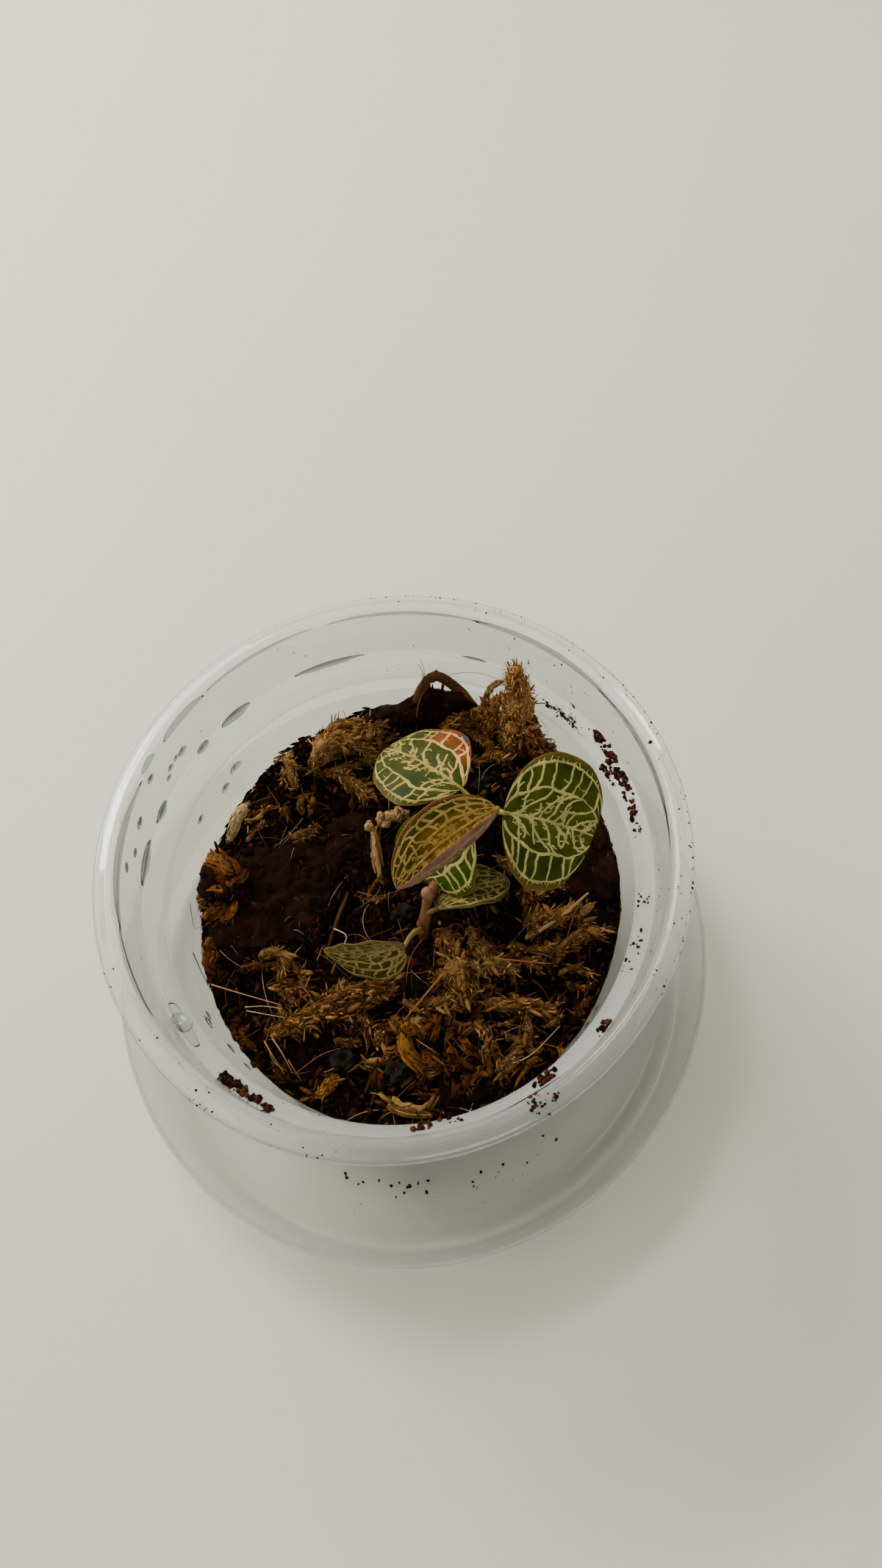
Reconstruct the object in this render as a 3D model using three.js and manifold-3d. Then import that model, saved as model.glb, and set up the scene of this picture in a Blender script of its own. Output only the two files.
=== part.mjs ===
// A young jewel orchid in a clear cup of growing mix, which stands in a clear saucer.
// Millimetres, +Z up. The origin is the centre of the saucer's underside.
import * as THREE from 'three';
import { mergeVertices } from 'three/addons/utils/BufferGeometryUtils.js';
import Module from 'manifold-3d';

const wasm = await Module();
wasm.setup();

// ---------------------------------------------------------------- driving dimensions

const SEAT_GAP = 0.3; // left between any two pieces that touch
const ROUND_FACETS = 40; // facets round the cup and the saucer

const SAUCER = { rimRadius: 68.7, height: 17, floorRadius: 60, cornerRadius: 63.4, floor: 1.5, wall: 0.9 };

// Radii of the cup are those of its inside, heights are above the table.
const CUP = {
  foot: SAUCER.floor + SEAT_GAP,
  floor: 4.1,
  wall: 0.8,
  footRadius: 42.4,
  ledge: { innerRadius: 48.5, innerHeight: 57.1, outerRadius: 52.3, outerHeight: 60.9 },
  collarTop: { radius: 53.8, height: 75.2 },
  lip: { radius: 55.5, height: 76.7 },
  rim: { radius: 58.5, height: 75.1 },
};
const DRAIN = { count: 4, radius: 2.5, circle: 24 };

const MIX = { centreHeight: 40.5, slopeX: 0.1, slopeY: 0.1, lump: 1.5, rings: 6, spokes: 32, reach: 50 };

const STEM = {
  radius: 1.15,
  topRadius: 0.85,
  path: [
    [1.2, -9.0, 33], [2.1, -7.6, 42], [3.0, -5.9, 46.5], [4.4, -3.4, 50],
    [8.1, 0.4, 51.6], [12.7, 3.0, 53.6], [16.5, 5.1, 57], [19.7, 5.7, 62], [21.7, 5.8, 66],
  ],
  nodes: [0.3, 0.42, 0.62, 0.8], // places of the swollen joints, as shares of the path
  jointLength: 0.03,
  jointSwell: 0.22,
  bud: { centre: [4.3, -3.2, 52.4], size: [1.3, 1.3, 1.9] },
};

const BLADE = { thickness: 0.6, stations: 10, columns: 5, ridge: 0.16, crossRidge: 0.1, wave: 0.2 };

// A leaf starts at base and runs for length along its midrib. heading is its compass angle, anticlockwise
// from +X, and swerve is how far that turns by the tip. pitch is the midrib's slope at the base and at the
// tip. roll lifts the left side. left and right are the half-widths, widest at belly. foot and tip shape the
// outline's two ends. leftFold and rightFold are the slopes of the half-blades, at the midrib and the margin.
const LEAVES = {
  leaf_right: {
    base: [22.6, 4.1, 67.8], length: 21.9, heading: -12.6, swerve: -5, pitch: [-19, -40], roll: 28,
    left: 14.7, right: 14.6, belly: 0.48, foot: 1.94, tip: 0.34, leftFold: [9, -8], rightFold: [8, -11],
    petiole: [[21.6, 5.4, 66.2], [22.0, 4.8, 67.2]],
  },
  leaf_centre: {
    base: [21.3, 5.2, 67.9], length: 26.5, heading: 199, swerve: 10, pitch: [16, -37], roll: -18,
    left: 9.2, right: 8.4, belly: 0.45, foot: 1.55, tip: 0.79, leftFold: [-22, 165], rightFold: [24, 28],
    petiole: [[21.7, 5.8, 66.2], [21.6, 5.5, 67.2]],
  },
  leaf_upper_left: {
    base: [15.7, 12.8, 64.3], length: 25.2, heading: 127, swerve: 1.5, pitch: [1.5, -46], roll: 4.5,
    left: 11.4, right: 11.4, belly: 0.34, foot: 1.38, tip: 0.57, leftFold: [8, -11], rightFold: [7, -13],
    petiole: [[19.4, 6.0, 61.4], [18.0, 9.0, 63.4]],
  },
  leaf_under: {
    base: [15.9, 4.5, 62.1], length: 20.7, heading: 185, swerve: -4.5, pitch: [-8, -87], roll: -33,
    left: 12.2, right: 8.3, belly: 0.45, foot: 1.9, tip: 0.54, leftFold: [8, -9], rightFold: [12, 0],
    petiole: [[18.2, 5.4, 59.8], [17.2, 5.0, 61.4]],
  },
  leaf_back: {
    base: [5.6, -6.2, 50.3], length: 17.8, heading: 28, swerve: -33, pitch: [5, -27], roll: -29,
    left: 7.5, right: 7.1, belly: 0.55, foot: 1.5, tip: 0.72, leftFold: [8, -4], rightFold: [9, -3],
    petiole: [[3.3, -5.6, 47.2], [4.4, -6.2, 49.2]],
  },
  leaf_low: {
    base: [-2.5, -12.0, 48.8], length: 18, heading: 179, swerve: -28, pitch: [-4, -23], roll: -65,
    left: 8.1, right: 6.7, belly: 0.3, foot: 2.1, tip: 0.85, leftFold: [9, 0], rightFold: [18, 36],
    petiole: [[2.0, -7.4, 42.4], [0.4, -8.6, 46.2], [-1.2, -10.4, 48.4]],
  },
};
const PETIOLE_RADIUS = 0.7;

// Strands are tubes on the mix. Each point is [x, y, height above the mix], and flat is thickness over width.
const STRANDS = {
  coir_fibre_left: { path: [[-10.7, 9.3, -1.6], [-16.2, -0.2, 1.2], [-21.6, -9.6, -1.6]], radius: 0.55 },
  bark_stick_right: { path: [[24.3, -19.6, -1.6], [31.0, -17.4, 1.4], [37.6, -14.4, 1.0]], radius: 0.75 },
  moss_strand: {
    path: [[4.4, 18.6, -1.8], [0.6, 20.2, 1.4], [-3.9, 18.2, 1.8], [-4.9, 12.0, 1.4], [-4.5, 5.4, -1.8]],
    radius: 1.2, flat: 0.7,
  },
  moss_curl_left: {
    path: [[-31.0, 33.0, -1.4], [-34.0, 28.6, 1.8], [-37.4, 24.0, -0.6]],
    radius: 1.5, flat: 0.7,
  },
  moss_rope_back: {
    path: [[16.6, 40.4, 1.6], [19.6, 36.2, 2.8], [24.6, 30.9, 2.6], [28.6, 25.8, -0.8]],
    radius: 0.9, endRadius: 2.3, flat: 0.8, sides: 5,
  },
  bark_sliver_back: {
    path: [[-5.4, 41.4, -1.0], [1.0, 43.4, 4.6], [8.2, 43.2, 4.4]],
    radius: 2.1, flat: 0.45, sides: 6,
  },
  root_loop_back: {
    path: [[9.5, 40.0, -1.6], [11.6, 43.4, 8.0], [16.1, 44.0, 13.2], [21.4, 40.3, 9.8], [26.4, 36.0, -1.6]],
    radius: 1.3, endRadius: 1.0, sides: 5, steps: 9,
  },
  leaf_litter_back: {
    path: [[25.2, 36.6, -1.4], [26.6, 38.4, 6.6], [28.2, 39.2, 11.0], [30.9, 38.8, 12.6]],
    radius: 1.3, endRadius: 0.6, flat: 0.4,
  },
};

// Slabs and stones: centre is [x, y, height above the mix], size is half the extent each way, turn and tilt
// are in degrees.
const LUMPS = {
  husk_chip_left: { centre: [-29.3, 8.0, 0.6], size: [12.4, 11.2, 1.9], turn: -14, tilt: [4, -6] },
  husk_chip_centre: { centre: [-9.3, 16.8, 0.6], size: [5.6, 5.2, 1.5], turn: -12, tilt: [8, -6] },
  husk_chip_right: { centre: [40.6, -1.4, 0.9], size: [5.6, 8.6, 1.9], turn: -8, tilt: [4, -12] },
  bark_chunk_left: { centre: [-40.6, 13.6, 3.4], size: [5.8, 6.2, 4.0], turn: 14, tilt: [0, 20] },
  bark_chunk_back: { centre: [12.6, 41.0, 2.2], size: [5.8, 3.2, 4.6], turn: -10, tilt: [0, 0] },
  gravel_front_left: { centre: [-19.5, -28.0, 0.3], size: [2.6, 2.0, 1.8], turn: 30 },
  gravel_front: { centre: [-8.4, -33.0, 0.3], size: [2.3, 2.0, 1.7] },
  gravel_back: { centre: [22.4, 22.2, 0.3], size: [2.2, 2.4, 1.8], turn: 60 },
  gravel_centre: { centre: [-1.8, -1.6, 0.3], size: [2.4, 1.9, 1.6], turn: 15 },
};

// Clumps of dried moss: a lumpy mat along a path, with fronds that stand out of it.
const CLUMPS = {
  moss_front: {
    path: [[-31, -10], [-26.5, -16], [-16.5, -20], [-7, -21], [4, -26]],
    radius: 3.9, fronds: 9,
  },
  moss_left: { path: [[-28.5, -9], [-36, -3]], radius: 3, fronds: 3 },
  moss_centre: { path: [[7, -8], [12.5, -16], [21, -27]], radius: 4.2, fronds: 6 },
  moss_right: { path: [[25, -10], [38.5, -12]], radius: 3.7, fronds: 4 },
  moss_middle: { path: [[17.5, 5], [26.5, -7]], radius: 4, fronds: 4 },
  moss_back_left: { path: [[-14, 38], [-2.5, 40], [8, 37.5]], radius: 4, fronds: 5 },
  moss_small_left: { path: [[-22.5, 39], [-18.5, 30]], radius: 2.7, fronds: 2 },
  moss_back_right: {
    path: [[17, 39], [29, 31.5], [39, 20]],
    radius: 4.5, fronds: 6,
    plume: [[32.0, 27.8, 46], [33.0, 30.8, 54], [33.2, 33.8, 61], [32.6, 36.8, 68.6]],
  },
};
const CLUMP = { lift: 0.05, flat: 0.6 }; // centre above the mix over radius, and thickness over width
const PLUME = { radius: 3.5, tipRadius: 1.5, flat: 0.8 };

// Shreds of orange-brown bark that curl out of one mat of the same bark.
const CURLS = {
  mat: { centre: [8, -36.2, -0.3], size: [13.5, 6.2, 2.6] },
  spots: [[-3, -32.5], [3, -31.5], [6.2, -37], [9.8, -32.8], [15.4, -32.4], [17.2, -37.6], [9, -40.6]],
  radius: 2.6,
  strip: 1.15,
};

const COLOURS = {
  clear: 0xe8ecee, mix: 0x1c100a, stem: 0x6b4424, leaf: 0x3f5a1e, leafGold: 0x7c6a1f, leafDull: 0x4c4a22,
  moss: 0x9a7446, bark: 0x5d3214, curl: 0xa5652b, husk: 0x1f0f08, stone: 0x24282a,
};
const LEAF_COLOURS = {
  leaf_centre: COLOURS.leafGold,
  leaf_back: COLOURS.leafDull,
  leaf_low: COLOURS.leafDull,
};

// ---------------------------------------------------------------- numbers and noise

// A repeatable stream of numbers from 0 to 1.
function randomStream(seed) {
  let state = seed >>> 0;
  return () => {
    state = (Math.imul(state, 1664525) + 1013904223) >>> 0;
    return state / 4294967296;
  };
}

// A repeatable value from -1 to 1 for a point of the unit lattice.
function latticeValue(x, y, z) {
  const mixed = Math.sin(x * 127.1 + y * 311.7 + z * 74.7) * 43758.5453;
  return 2 * (mixed - Math.floor(mixed)) - 1;
}

// Smooth noise from -1 to 1.
function noise(x, y, z) {
  const cell = [x, y, z].map(Math.floor);
  const ease = [x, y, z].map((value, axis) => {
    const part = value - cell[axis];
    return part * part * (3 - 2 * part);
  });
  let sum = 0;
  for (let corner = 0; corner < 8; corner += 1) {
    const step = [corner & 1, (corner >> 1) & 1, corner >> 2];
    const weights = step.map((on, axis) => (on ? ease[axis] : 1 - ease[axis]));
    const value = latticeValue(cell[0] + step[0], cell[1] + step[1], cell[2] + step[2]);
    sum += weights[0] * weights[1] * weights[2] * value;
  }
  return sum;
}

const radians = THREE.MathUtils.degToRad;
const vector = (point) => new THREE.Vector3(...point);

// Height of the growing mix's surface.
function mixHeight(x, y) {
  const slope = MIX.centreHeight + MIX.slopeX * x + MIX.slopeY * y;
  return slope + MIX.lump * noise(x / 13, y / 13, 3) + 0.4 * MIX.lump * noise(x / 6, y / 6, 9);
}

// The point for [x, y, height above the mix].
function onMix([x, y, lift]) {
  return [x, y, mixHeight(x, y) + lift];
}

// ---------------------------------------------------------------- solids

// The closed solid of a three.js geometry.
function solidOf(geometry) {
  const loose = geometry.index ? geometry.toNonIndexed() : geometry;
  const bare = new THREE.BufferGeometry().setAttribute('position', loose.getAttribute('position'));
  const merged = mergeVertices(bare, 1e-3);
  const triVerts = [];
  for (let i = 0; i < merged.index.count; i += 3) {
    const [a, b, c] = [0, 1, 2].map((corner) => merged.index.getX(i + corner));
    if (a !== b && b !== c && c !== a) triVerts.push(a, b, c);
  }
  const vertProperties = merged.attributes.position.array;
  const mesh = new wasm.Mesh({ numProp: 3, vertProperties, triVerts: new Uint32Array(triVerts) });
  return new wasm.Manifold(mesh);
}

function geometryOf(solid) {
  const mesh = solid.getMesh();
  const geometry = new THREE.BufferGeometry();
  geometry.setAttribute('position', new THREE.BufferAttribute(mesh.vertProperties, 3));
  geometry.setIndex(new THREE.BufferAttribute(mesh.triVerts, 1));
  geometry.computeVertexNormals();
  return geometry;
}

function unite(solids) {
  return solids.reduce((whole, piece) => whole.add(piece));
}

function largestPiece(solid) {
  const pieces = solid.decompose();
  return pieces.reduce((best, piece) => (piece.volume() > best.volume() ? piece : best));
}

// A solid of revolution about Z from [radius, height] points, anticlockwise from the axis.
function turned(profile) {
  const points = profile.map(([radius, height]) => new THREE.Vector2(radius, height));
  return solidOf(new THREE.LatheGeometry(points, ROUND_FACETS).rotateX(Math.PI / 2));
}

// A solid from rings of points, each ring closed and the two ends capped.
function lofted(rings) {
  const size = rings[0].length;
  const centre = (ring) => ring.reduce((sum, p) => sum.add(p), new THREE.Vector3()).divideScalar(size);
  const corners = [];
  for (let i = 0; i + 1 < rings.length; i += 1) {
    for (let j = 0; j < size; j += 1) {
      const next = (j + 1) % size;
      const [a, b, c, d] = [rings[i][j], rings[i][next], rings[i + 1][next], rings[i + 1][j]];
      corners.push(a, b, c, a, c, d);
    }
  }
  const [first, last] = [rings[0], rings[rings.length - 1]];
  const [start, end] = [centre(first), centre(last)];
  for (let j = 0; j < size; j += 1) {
    const next = (j + 1) % size;
    corners.push(start, first[next], first[j], end, last[j], last[next]);
  }
  return solidOf(new THREE.BufferGeometry().setFromPoints(corners));
}

// A tapering tube along a smooth path. flat is its thickness over its width, swell scales its radius along
// the path, rough makes it lumpy, and grow swells it all over.
function strand(shape, grow) {
  const { path, radius, endRadius = radius * 0.6, flat = 1, sides = 4, steps = 5 } = shape;
  const { swell = () => 1, rough = 0, seed = 1 } = shape;
  const curve = new THREE.CatmullRomCurve3(path.map(vector));
  const frames = curve.computeFrenetFrames(steps, false);
  const rings = [];
  for (let i = 0; i <= steps; i += 1) {
    const share = i / steps;
    const middle = curve.getPointAt(share);
    const overrun = i === 0 ? -grow : i === steps ? grow : 0;
    middle.addScaledVector(frames.tangents[i], overrun);
    const ring = [];
    for (let j = 0; j < sides; j += 1) {
      const angle = (2 * Math.PI * j) / sides;
      const lumps = 1 + rough * noise(i * 0.8 + seed, j * 1.3, seed);
      const width = THREE.MathUtils.lerp(radius, endRadius, share) * swell(share) * lumps;
      const point = middle.clone();
      point.addScaledVector(frames.normals[i], Math.cos(angle) * (width * flat + grow));
      point.addScaledVector(frames.binormals[i], Math.sin(angle) * (width + grow));
      ring.push(point);
    }
    rings.push(ring);
  }
  return lofted(rings);
}

// A rough lump: an ellipsoid, or a slab when squareness is high. It is cut off flat below the share flatBelow
// of its height.
function lump(shape, grow) {
  const { centre, size, turn = 0, tilt = [0, 0], squareness = 2, rough = 0.16, flatBelow = 1 } = shape;
  const { detail = 1, seed = 1 } = shape;
  const geometry = new THREE.IcosahedronGeometry(1, detail);
  const position = geometry.getAttribute('position');
  const rotation = new THREE.Euler(radians(tilt[0]), radians(tilt[1]), radians(turn), 'ZYX');
  for (let i = 0; i < position.count; i += 1) {
    const point = new THREE.Vector3().fromBufferAttribute(position, i);
    const [x, y, z] = point.toArray().map((value) => Math.round(value * 1e4) / 1e4);
    const power = [x, y, z].reduce((sum, value) => sum + Math.abs(value) ** squareness, 0);
    const reach = power ** (-1 / squareness) * (1 + rough * noise(x * 2.3 + seed, y * 2.3, z * 2.3));
    const height = Math.max(z * (size[2] * reach + grow), -flatBelow * size[2] - grow);
    point.set(x * (size[0] * reach + grow), y * (size[1] * reach + grow), height);
    point.applyEuler(rotation).add(vector(centre));
    position.setXYZ(i, ...point.toArray());
  }
  return solidOf(geometry);
}

// ---------------------------------------------------------------- saucer and cup

function saucerSolid() {
  const { rimRadius, height, floorRadius, cornerRadius, floor, wall } = SAUCER;
  return turned([
    [0, 0], [floorRadius, 0], [cornerRadius, 0.9], [cornerRadius + 1.6, 3.4], [rimRadius - 0.3, height - 1.2],
    [rimRadius, height - 0.4], [rimRadius - 0.3, height], [rimRadius - wall, height - 0.5],
    [cornerRadius + 0.7, 3.9], [cornerRadius - 0.9, 2.2], [floorRadius - 0.4, floor], [0, floor],
  ]);
}

// The inside of the cup from its floor up to its lip.
function insideProfile() {
  const { floor, footRadius, ledge, collarTop, lip } = CUP;
  return [
    [footRadius - 1.6, floor], [footRadius, floor + 1.4],
    [ledge.innerRadius - 0.1, ledge.innerHeight - 0.7], [ledge.innerRadius + 0.5, ledge.innerHeight + 0.3],
    [ledge.outerRadius - 0.8, ledge.outerHeight - 0.9], [ledge.outerRadius, ledge.outerHeight + 0.3],
    [collarTop.radius, collarTop.height], [lip.radius - 0.5, lip.height - 0.1],
  ];
}

function cupSolid() {
  const { foot, wall, footRadius, ledge, collarTop, lip, rim } = CUP;
  const outside = [
    [0, foot + 1.5], [footRadius - 3.6, foot + 1.5], [footRadius - 2.6, foot], [footRadius - 0.2, foot],
    [footRadius + wall, foot + 1.4], [ledge.innerRadius + wall, ledge.innerHeight - 1.6],
    [ledge.outerRadius + wall, ledge.outerHeight - 0.7], [collarTop.radius + wall, collarTop.height - 0.5],
    [lip.radius + 0.1, lip.height - 1.1], [rim.radius - 0.6, rim.height - 1.1],
    [rim.radius, rim.height - 0.3],
    [rim.radius - 0.5, rim.height + 0.5],
  ];
  const inside = insideProfile().reverse();
  const shell = turned([...outside, ...inside, [0, CUP.floor]]);
  const drains = [];
  for (let i = 0; i < DRAIN.count; i += 1) {
    const angle = ((i + 0.5) / DRAIN.count) * 2 * Math.PI;
    const drill = new THREE.CylinderGeometry(DRAIN.radius, DRAIN.radius, 8, 10).rotateX(Math.PI / 2);
    drill.translate(DRAIN.circle * Math.cos(angle), DRAIN.circle * Math.sin(angle), foot + 2);
    drains.push(solidOf(drill));
  }
  return shell.subtract(unite(drains));
}

// The room inside the cup that its contents may fill, SEAT_GAP clear of the cup.
function cupRoom() {
  const inside = insideProfile().map(([radius, height]) => [radius - SEAT_GAP, height]);
  inside[0][1] += SEAT_GAP;
  const top = CUP.lip.height + 30;
  return turned([[0, CUP.floor + SEAT_GAP], ...inside, [CUP.lip.radius - 1, top], [0, top]]);
}

// ---------------------------------------------------------------- plant

function stemSolid(grow) {
  const swollen = (share) => STEM.nodes.map((node) => Math.exp(-(((share - node) / STEM.jointLength) ** 2)));
  const shoot = strand({
    path: STEM.path, radius: STEM.radius, endRadius: STEM.topRadius, sides: 7, steps: 18,
    swell: (share) => 1 + STEM.jointSwell * Math.max(...swollen(share)),
  }, grow);
  return shoot.add(lump({ ...STEM.bud, rough: 0.05 }, grow));
}

// Half-width of a leaf, as a share of its widest, at a share of its length.
function outline(share, { belly, foot, tip }) {
  if (share < belly) return (1 - ((belly - share) / belly) ** foot) ** (1 / foot);
  return (1 - ((share - belly) / (1 - belly)) ** 2) ** tip;
}

// The midrib of a leaf: at each station its place, the direction to its left and the direction up from it.
function midribStations(leaf) {
  const shares = [];
  for (let i = 0; i <= BLADE.stations; i += 1) {
    shares.push((1 - Math.cos((Math.PI * i) / BLADE.stations)) / 2);
  }
  const roll = radians(leaf.roll);
  const place = vector(leaf.base);
  let before = null;
  return shares.map((share) => {
    const heading = radians(leaf.heading + leaf.swerve * share);
    const pitch = radians(THREE.MathUtils.lerp(...leaf.pitch, share));
    const level = new THREE.Vector3(-Math.sin(heading), Math.cos(heading), 0);
    const ahead = new THREE.Vector3(
      Math.cos(pitch) * Math.cos(heading), Math.cos(pitch) * Math.sin(heading), Math.sin(pitch));
    if (before) {
      place.addScaledVector(before.ahead.clone().add(ahead), (0.5 * (share - before.share)) * leaf.length);
    }
    before = { share, ahead };
    const up = ahead.clone().cross(level);
    const left = level.clone().multiplyScalar(Math.cos(roll)).addScaledVector(up, Math.sin(roll));
    const above = up.clone().multiplyScalar(Math.cos(roll)).addScaledVector(level, -Math.sin(roll));
    return { share, place: place.clone(), left, above };
  });
}

// A point of the half-blade's arc, across from the midrib, and the direction up from the blade there.
function across({ place, left, above }, side, fold, width, reach) {
  const point = place.clone();
  const steps = 8;
  for (let i = 0; i < steps; i += 1) {
    const slope = radians(THREE.MathUtils.lerp(...fold, ((i + 0.5) / steps) * reach));
    point.addScaledVector(left, (side * Math.cos(slope) * width * reach) / steps);
    point.addScaledVector(above, (Math.sin(slope) * width * reach) / steps);
  }
  const slope = radians(THREE.MathUtils.lerp(...fold, reach));
  const up = above.clone().multiplyScalar(Math.cos(slope)).addScaledVector(left, -side * Math.sin(slope));
  return { point, up };
}

// The blade's two faces share one grid and one split of each cell. Its veins stand up from the upper face.
function bladeSolid(leaf, grow) {
  const { thickness, columns, ridge, crossRidge, wave, stations } = BLADE;
  const [upper, lower] = [[], []];
  midribStations(leaf).forEach((station, i) => {
    const [topRow, lowRow] = [[], []];
    for (let j = -columns; j <= columns; j += 1) {
      const side = Math.sign(j) || 1;
      const reach = Math.abs(j) / columns;
      const half = side > 0 ? leaf.left : leaf.right;
      const width = Math.max(half * outline(station.share, leaf), 0.4) + grow;
      const { point, up } = across(station, side, side > 0 ? leaf.leftFold : leaf.rightFold, width, reach);
      const vein = j % 2 === 0 ? ridge : (i % 2) * crossRidge;
      const ripple = wave * reach ** 2 * Math.sin(6 * station.share * Math.PI + side);
      topRow.push(point.clone().addScaledVector(up, ripple + thickness / 2 + vein + grow));
      lowRow.push(point.clone().addScaledVector(up, ripple - thickness / 2 - grow));
    }
    upper.push(topRow);
    lower.push(lowRow);
  });
  const corners = [];
  const quad = (a, b, c, d) => corners.push(a, b, c, a, c, d);
  const last = 2 * columns;
  for (let i = 0; i < stations; i += 1) {
    for (let j = 0; j < last; j += 1) {
      quad(upper[i][j], upper[i + 1][j], upper[i + 1][j + 1], upper[i][j + 1]);
      const [a, b, c, d] = [lower[i][j], lower[i + 1][j], lower[i + 1][j + 1], lower[i][j + 1]];
      corners.push(a, c, b, a, d, c);
    }
    quad(lower[i][0], lower[i + 1][0], upper[i + 1][0], upper[i][0]);
    quad(upper[i][last], upper[i + 1][last], lower[i + 1][last], lower[i][last]);
  }
  for (let j = 0; j < last; j += 1) {
    quad(lower[0][j], upper[0][j], upper[0][j + 1], lower[0][j + 1]);
    quad(upper[stations][j], lower[stations][j], lower[stations][j + 1], upper[stations][j + 1]);
  }
  return solidOf(new THREE.BufferGeometry().setFromPoints(corners));
}

function leafSolid(leaf, grow) {
  const ahead = midribStations(leaf)[1].place.toArray();
  const petiole = strand({
    path: [...leaf.petiole, leaf.base, ahead], radius: PETIOLE_RADIUS, endRadius: 0.5, sides: 5, steps: 4,
  }, grow);
  return bladeSolid(leaf, grow).add(petiole);
}

// ---------------------------------------------------------------- growing mix

// The whole mix below its lumpy surface, before the other pieces are let into it.
function mixSolid(room) {
  const surface = (ring, spoke) => {
    const radius = (MIX.reach * ring) / MIX.rings;
    const angle = ((spoke % MIX.spokes) / MIX.spokes) * 2 * Math.PI;
    const [x, y] = [radius * Math.cos(angle), radius * Math.sin(angle)];
    return new THREE.Vector3(x, y, mixHeight(x, y));
  };
  const foot = (point) => new THREE.Vector3(point.x, point.y, 0);
  const [top, bottom] = [surface(0, 0), new THREE.Vector3(0, 0, 0)];
  const corners = [];
  for (let spoke = 0; spoke < MIX.spokes; spoke += 1) {
    corners.push(top, surface(1, spoke), surface(1, spoke + 1));
    for (let ring = 1; ring < MIX.rings; ring += 1) {
      const [a, b] = [surface(ring, spoke), surface(ring + 1, spoke)];
      const [c, d] = [surface(ring + 1, spoke + 1), surface(ring, spoke + 1)];
      corners.push(a, b, c, a, c, d);
    }
    const [edge, nextEdge] = [surface(MIX.rings, spoke), surface(MIX.rings, spoke + 1)];
    corners.push(edge, foot(edge), foot(nextEdge), edge, foot(nextEdge), nextEdge);
    corners.push(bottom, foot(nextEdge), foot(edge));
  }
  return solidOf(new THREE.BufferGeometry().setFromPoints(corners)).intersect(room);
}

// A lumpy mat along the path, and fronds that root in it and lean outwards.
function clumpSolid({ path, radius, fronds, plume }, seed, grow) {
  const random = randomStream(seed);
  const places = path.map(([x, y]) => onMix([x, y, CLUMP.lift * radius]));
  const mat = {
    path: places, radius, endRadius: radius * 0.9, flat: CLUMP.flat, sides: 6, steps: 2 + 2 * path.length,
    swell: (share) => Math.sqrt(1.04 - (2 * share - 1) ** 6), rough: 0.45, seed,
  };
  const pieces = [strand(mat, grow)];
  const curve = new THREE.CatmullRomCurve3(places.map(vector));
  for (let i = 0; i < fronds; i += 1) {
    const root = curve.getPointAt((i + 0.5) / fronds);
    const angle = 2 * Math.PI * random();
    const [out, rise] = [radius * (1.1 + 0.6 * random()), radius * (0.5 + 0.4 * random())];
    const away = new THREE.Vector3(out * Math.cos(angle), out * Math.sin(angle), 0);
    const at = (share, up) => root.clone().addScaledVector(away, share).setZ(root.z + up).toArray();
    pieces.push(strand({
      path: [at(0.1, 0), at(0.6, rise), at(1, rise * 0.9)], radius: 1 + 0.3 * random(), sides: 3, steps: 3,
    }, grow));
  }
  if (plume) {
    const ragged = (share) => 1 + 0.22 * Math.sin(17 * share) + 0.12 * Math.sin(41 * share);
    pieces.push(strand({
      path: plume, radius: PLUME.radius, endRadius: PLUME.tipRadius, flat: PLUME.flat,
      sides: 6, steps: 8, swell: ragged,
    }, grow));
  }
  return unite(pieces);
}

// A mat of bark with C-shaped shreds rising out of it.
function curlsSolid(grow) {
  const random = randomStream(5);
  const centre = onMix(CURLS.mat.centre);
  const pieces = [lump({ centre, size: CURLS.mat.size, rough: 0.3, flatBelow: 0.4, seed: 4 }, grow)];
  for (const [x, y] of CURLS.spots) {
    const heading = 2 * Math.PI * random();
    const radius = CURLS.radius * (0.8 + 0.5 * random());
    const height = mixHeight(x, y) - 0.4;
    const path = [];
    for (let step = 0; step <= 4; step += 1) {
      const angle = (-0.15 + 1.15 * (step / 4)) * Math.PI;
      const [along, rise] = [radius * Math.cos(angle), radius * Math.sin(angle)];
      path.push([x + along * Math.cos(heading), y + along * Math.sin(heading), height + rise]);
    }
    pieces.push(strand({ path, radius: CURLS.strip, endRadius: 0.7, flat: 0.55, sides: 4, steps: 5 }, grow));
  }
  return unite(pieces);
}

// ---------------------------------------------------------------- assembly

const orchid = new THREE.Group();

function addNode(name, solid, colour, look = {}) {
  const material = new THREE.MeshStandardMaterial({ color: colour, roughness: 0.85, metalness: 0, ...look });
  const mesh = new THREE.Mesh(geometryOf(solid), material);
  mesh.name = name;
  orchid.add(mesh);
}

const clearPlastic = { roughness: 0.12, transparent: true, opacity: 0.35 };
addNode('saucer', saucerSolid(), COLOURS.clear, clearPlastic);
addNode('cup', cupSolid(), COLOURS.clear, clearPlastic);

// Each later piece is let into the earlier ones' surroundings: it gives way to their swollen shapes, so that
// SEAT_GAP is left between any two. It stays inside the cup's room.
const room = cupRoom();
const placed = [];

function seat(name, build, colour, look) {
  const clearOfOthers = placed.reduce((solid, envelope) => solid.subtract(envelope), build(0));
  addNode(name, largestPiece(clearOfOthers.intersect(room)), colour, look);
  placed.push(build(SEAT_GAP));
}

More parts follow.
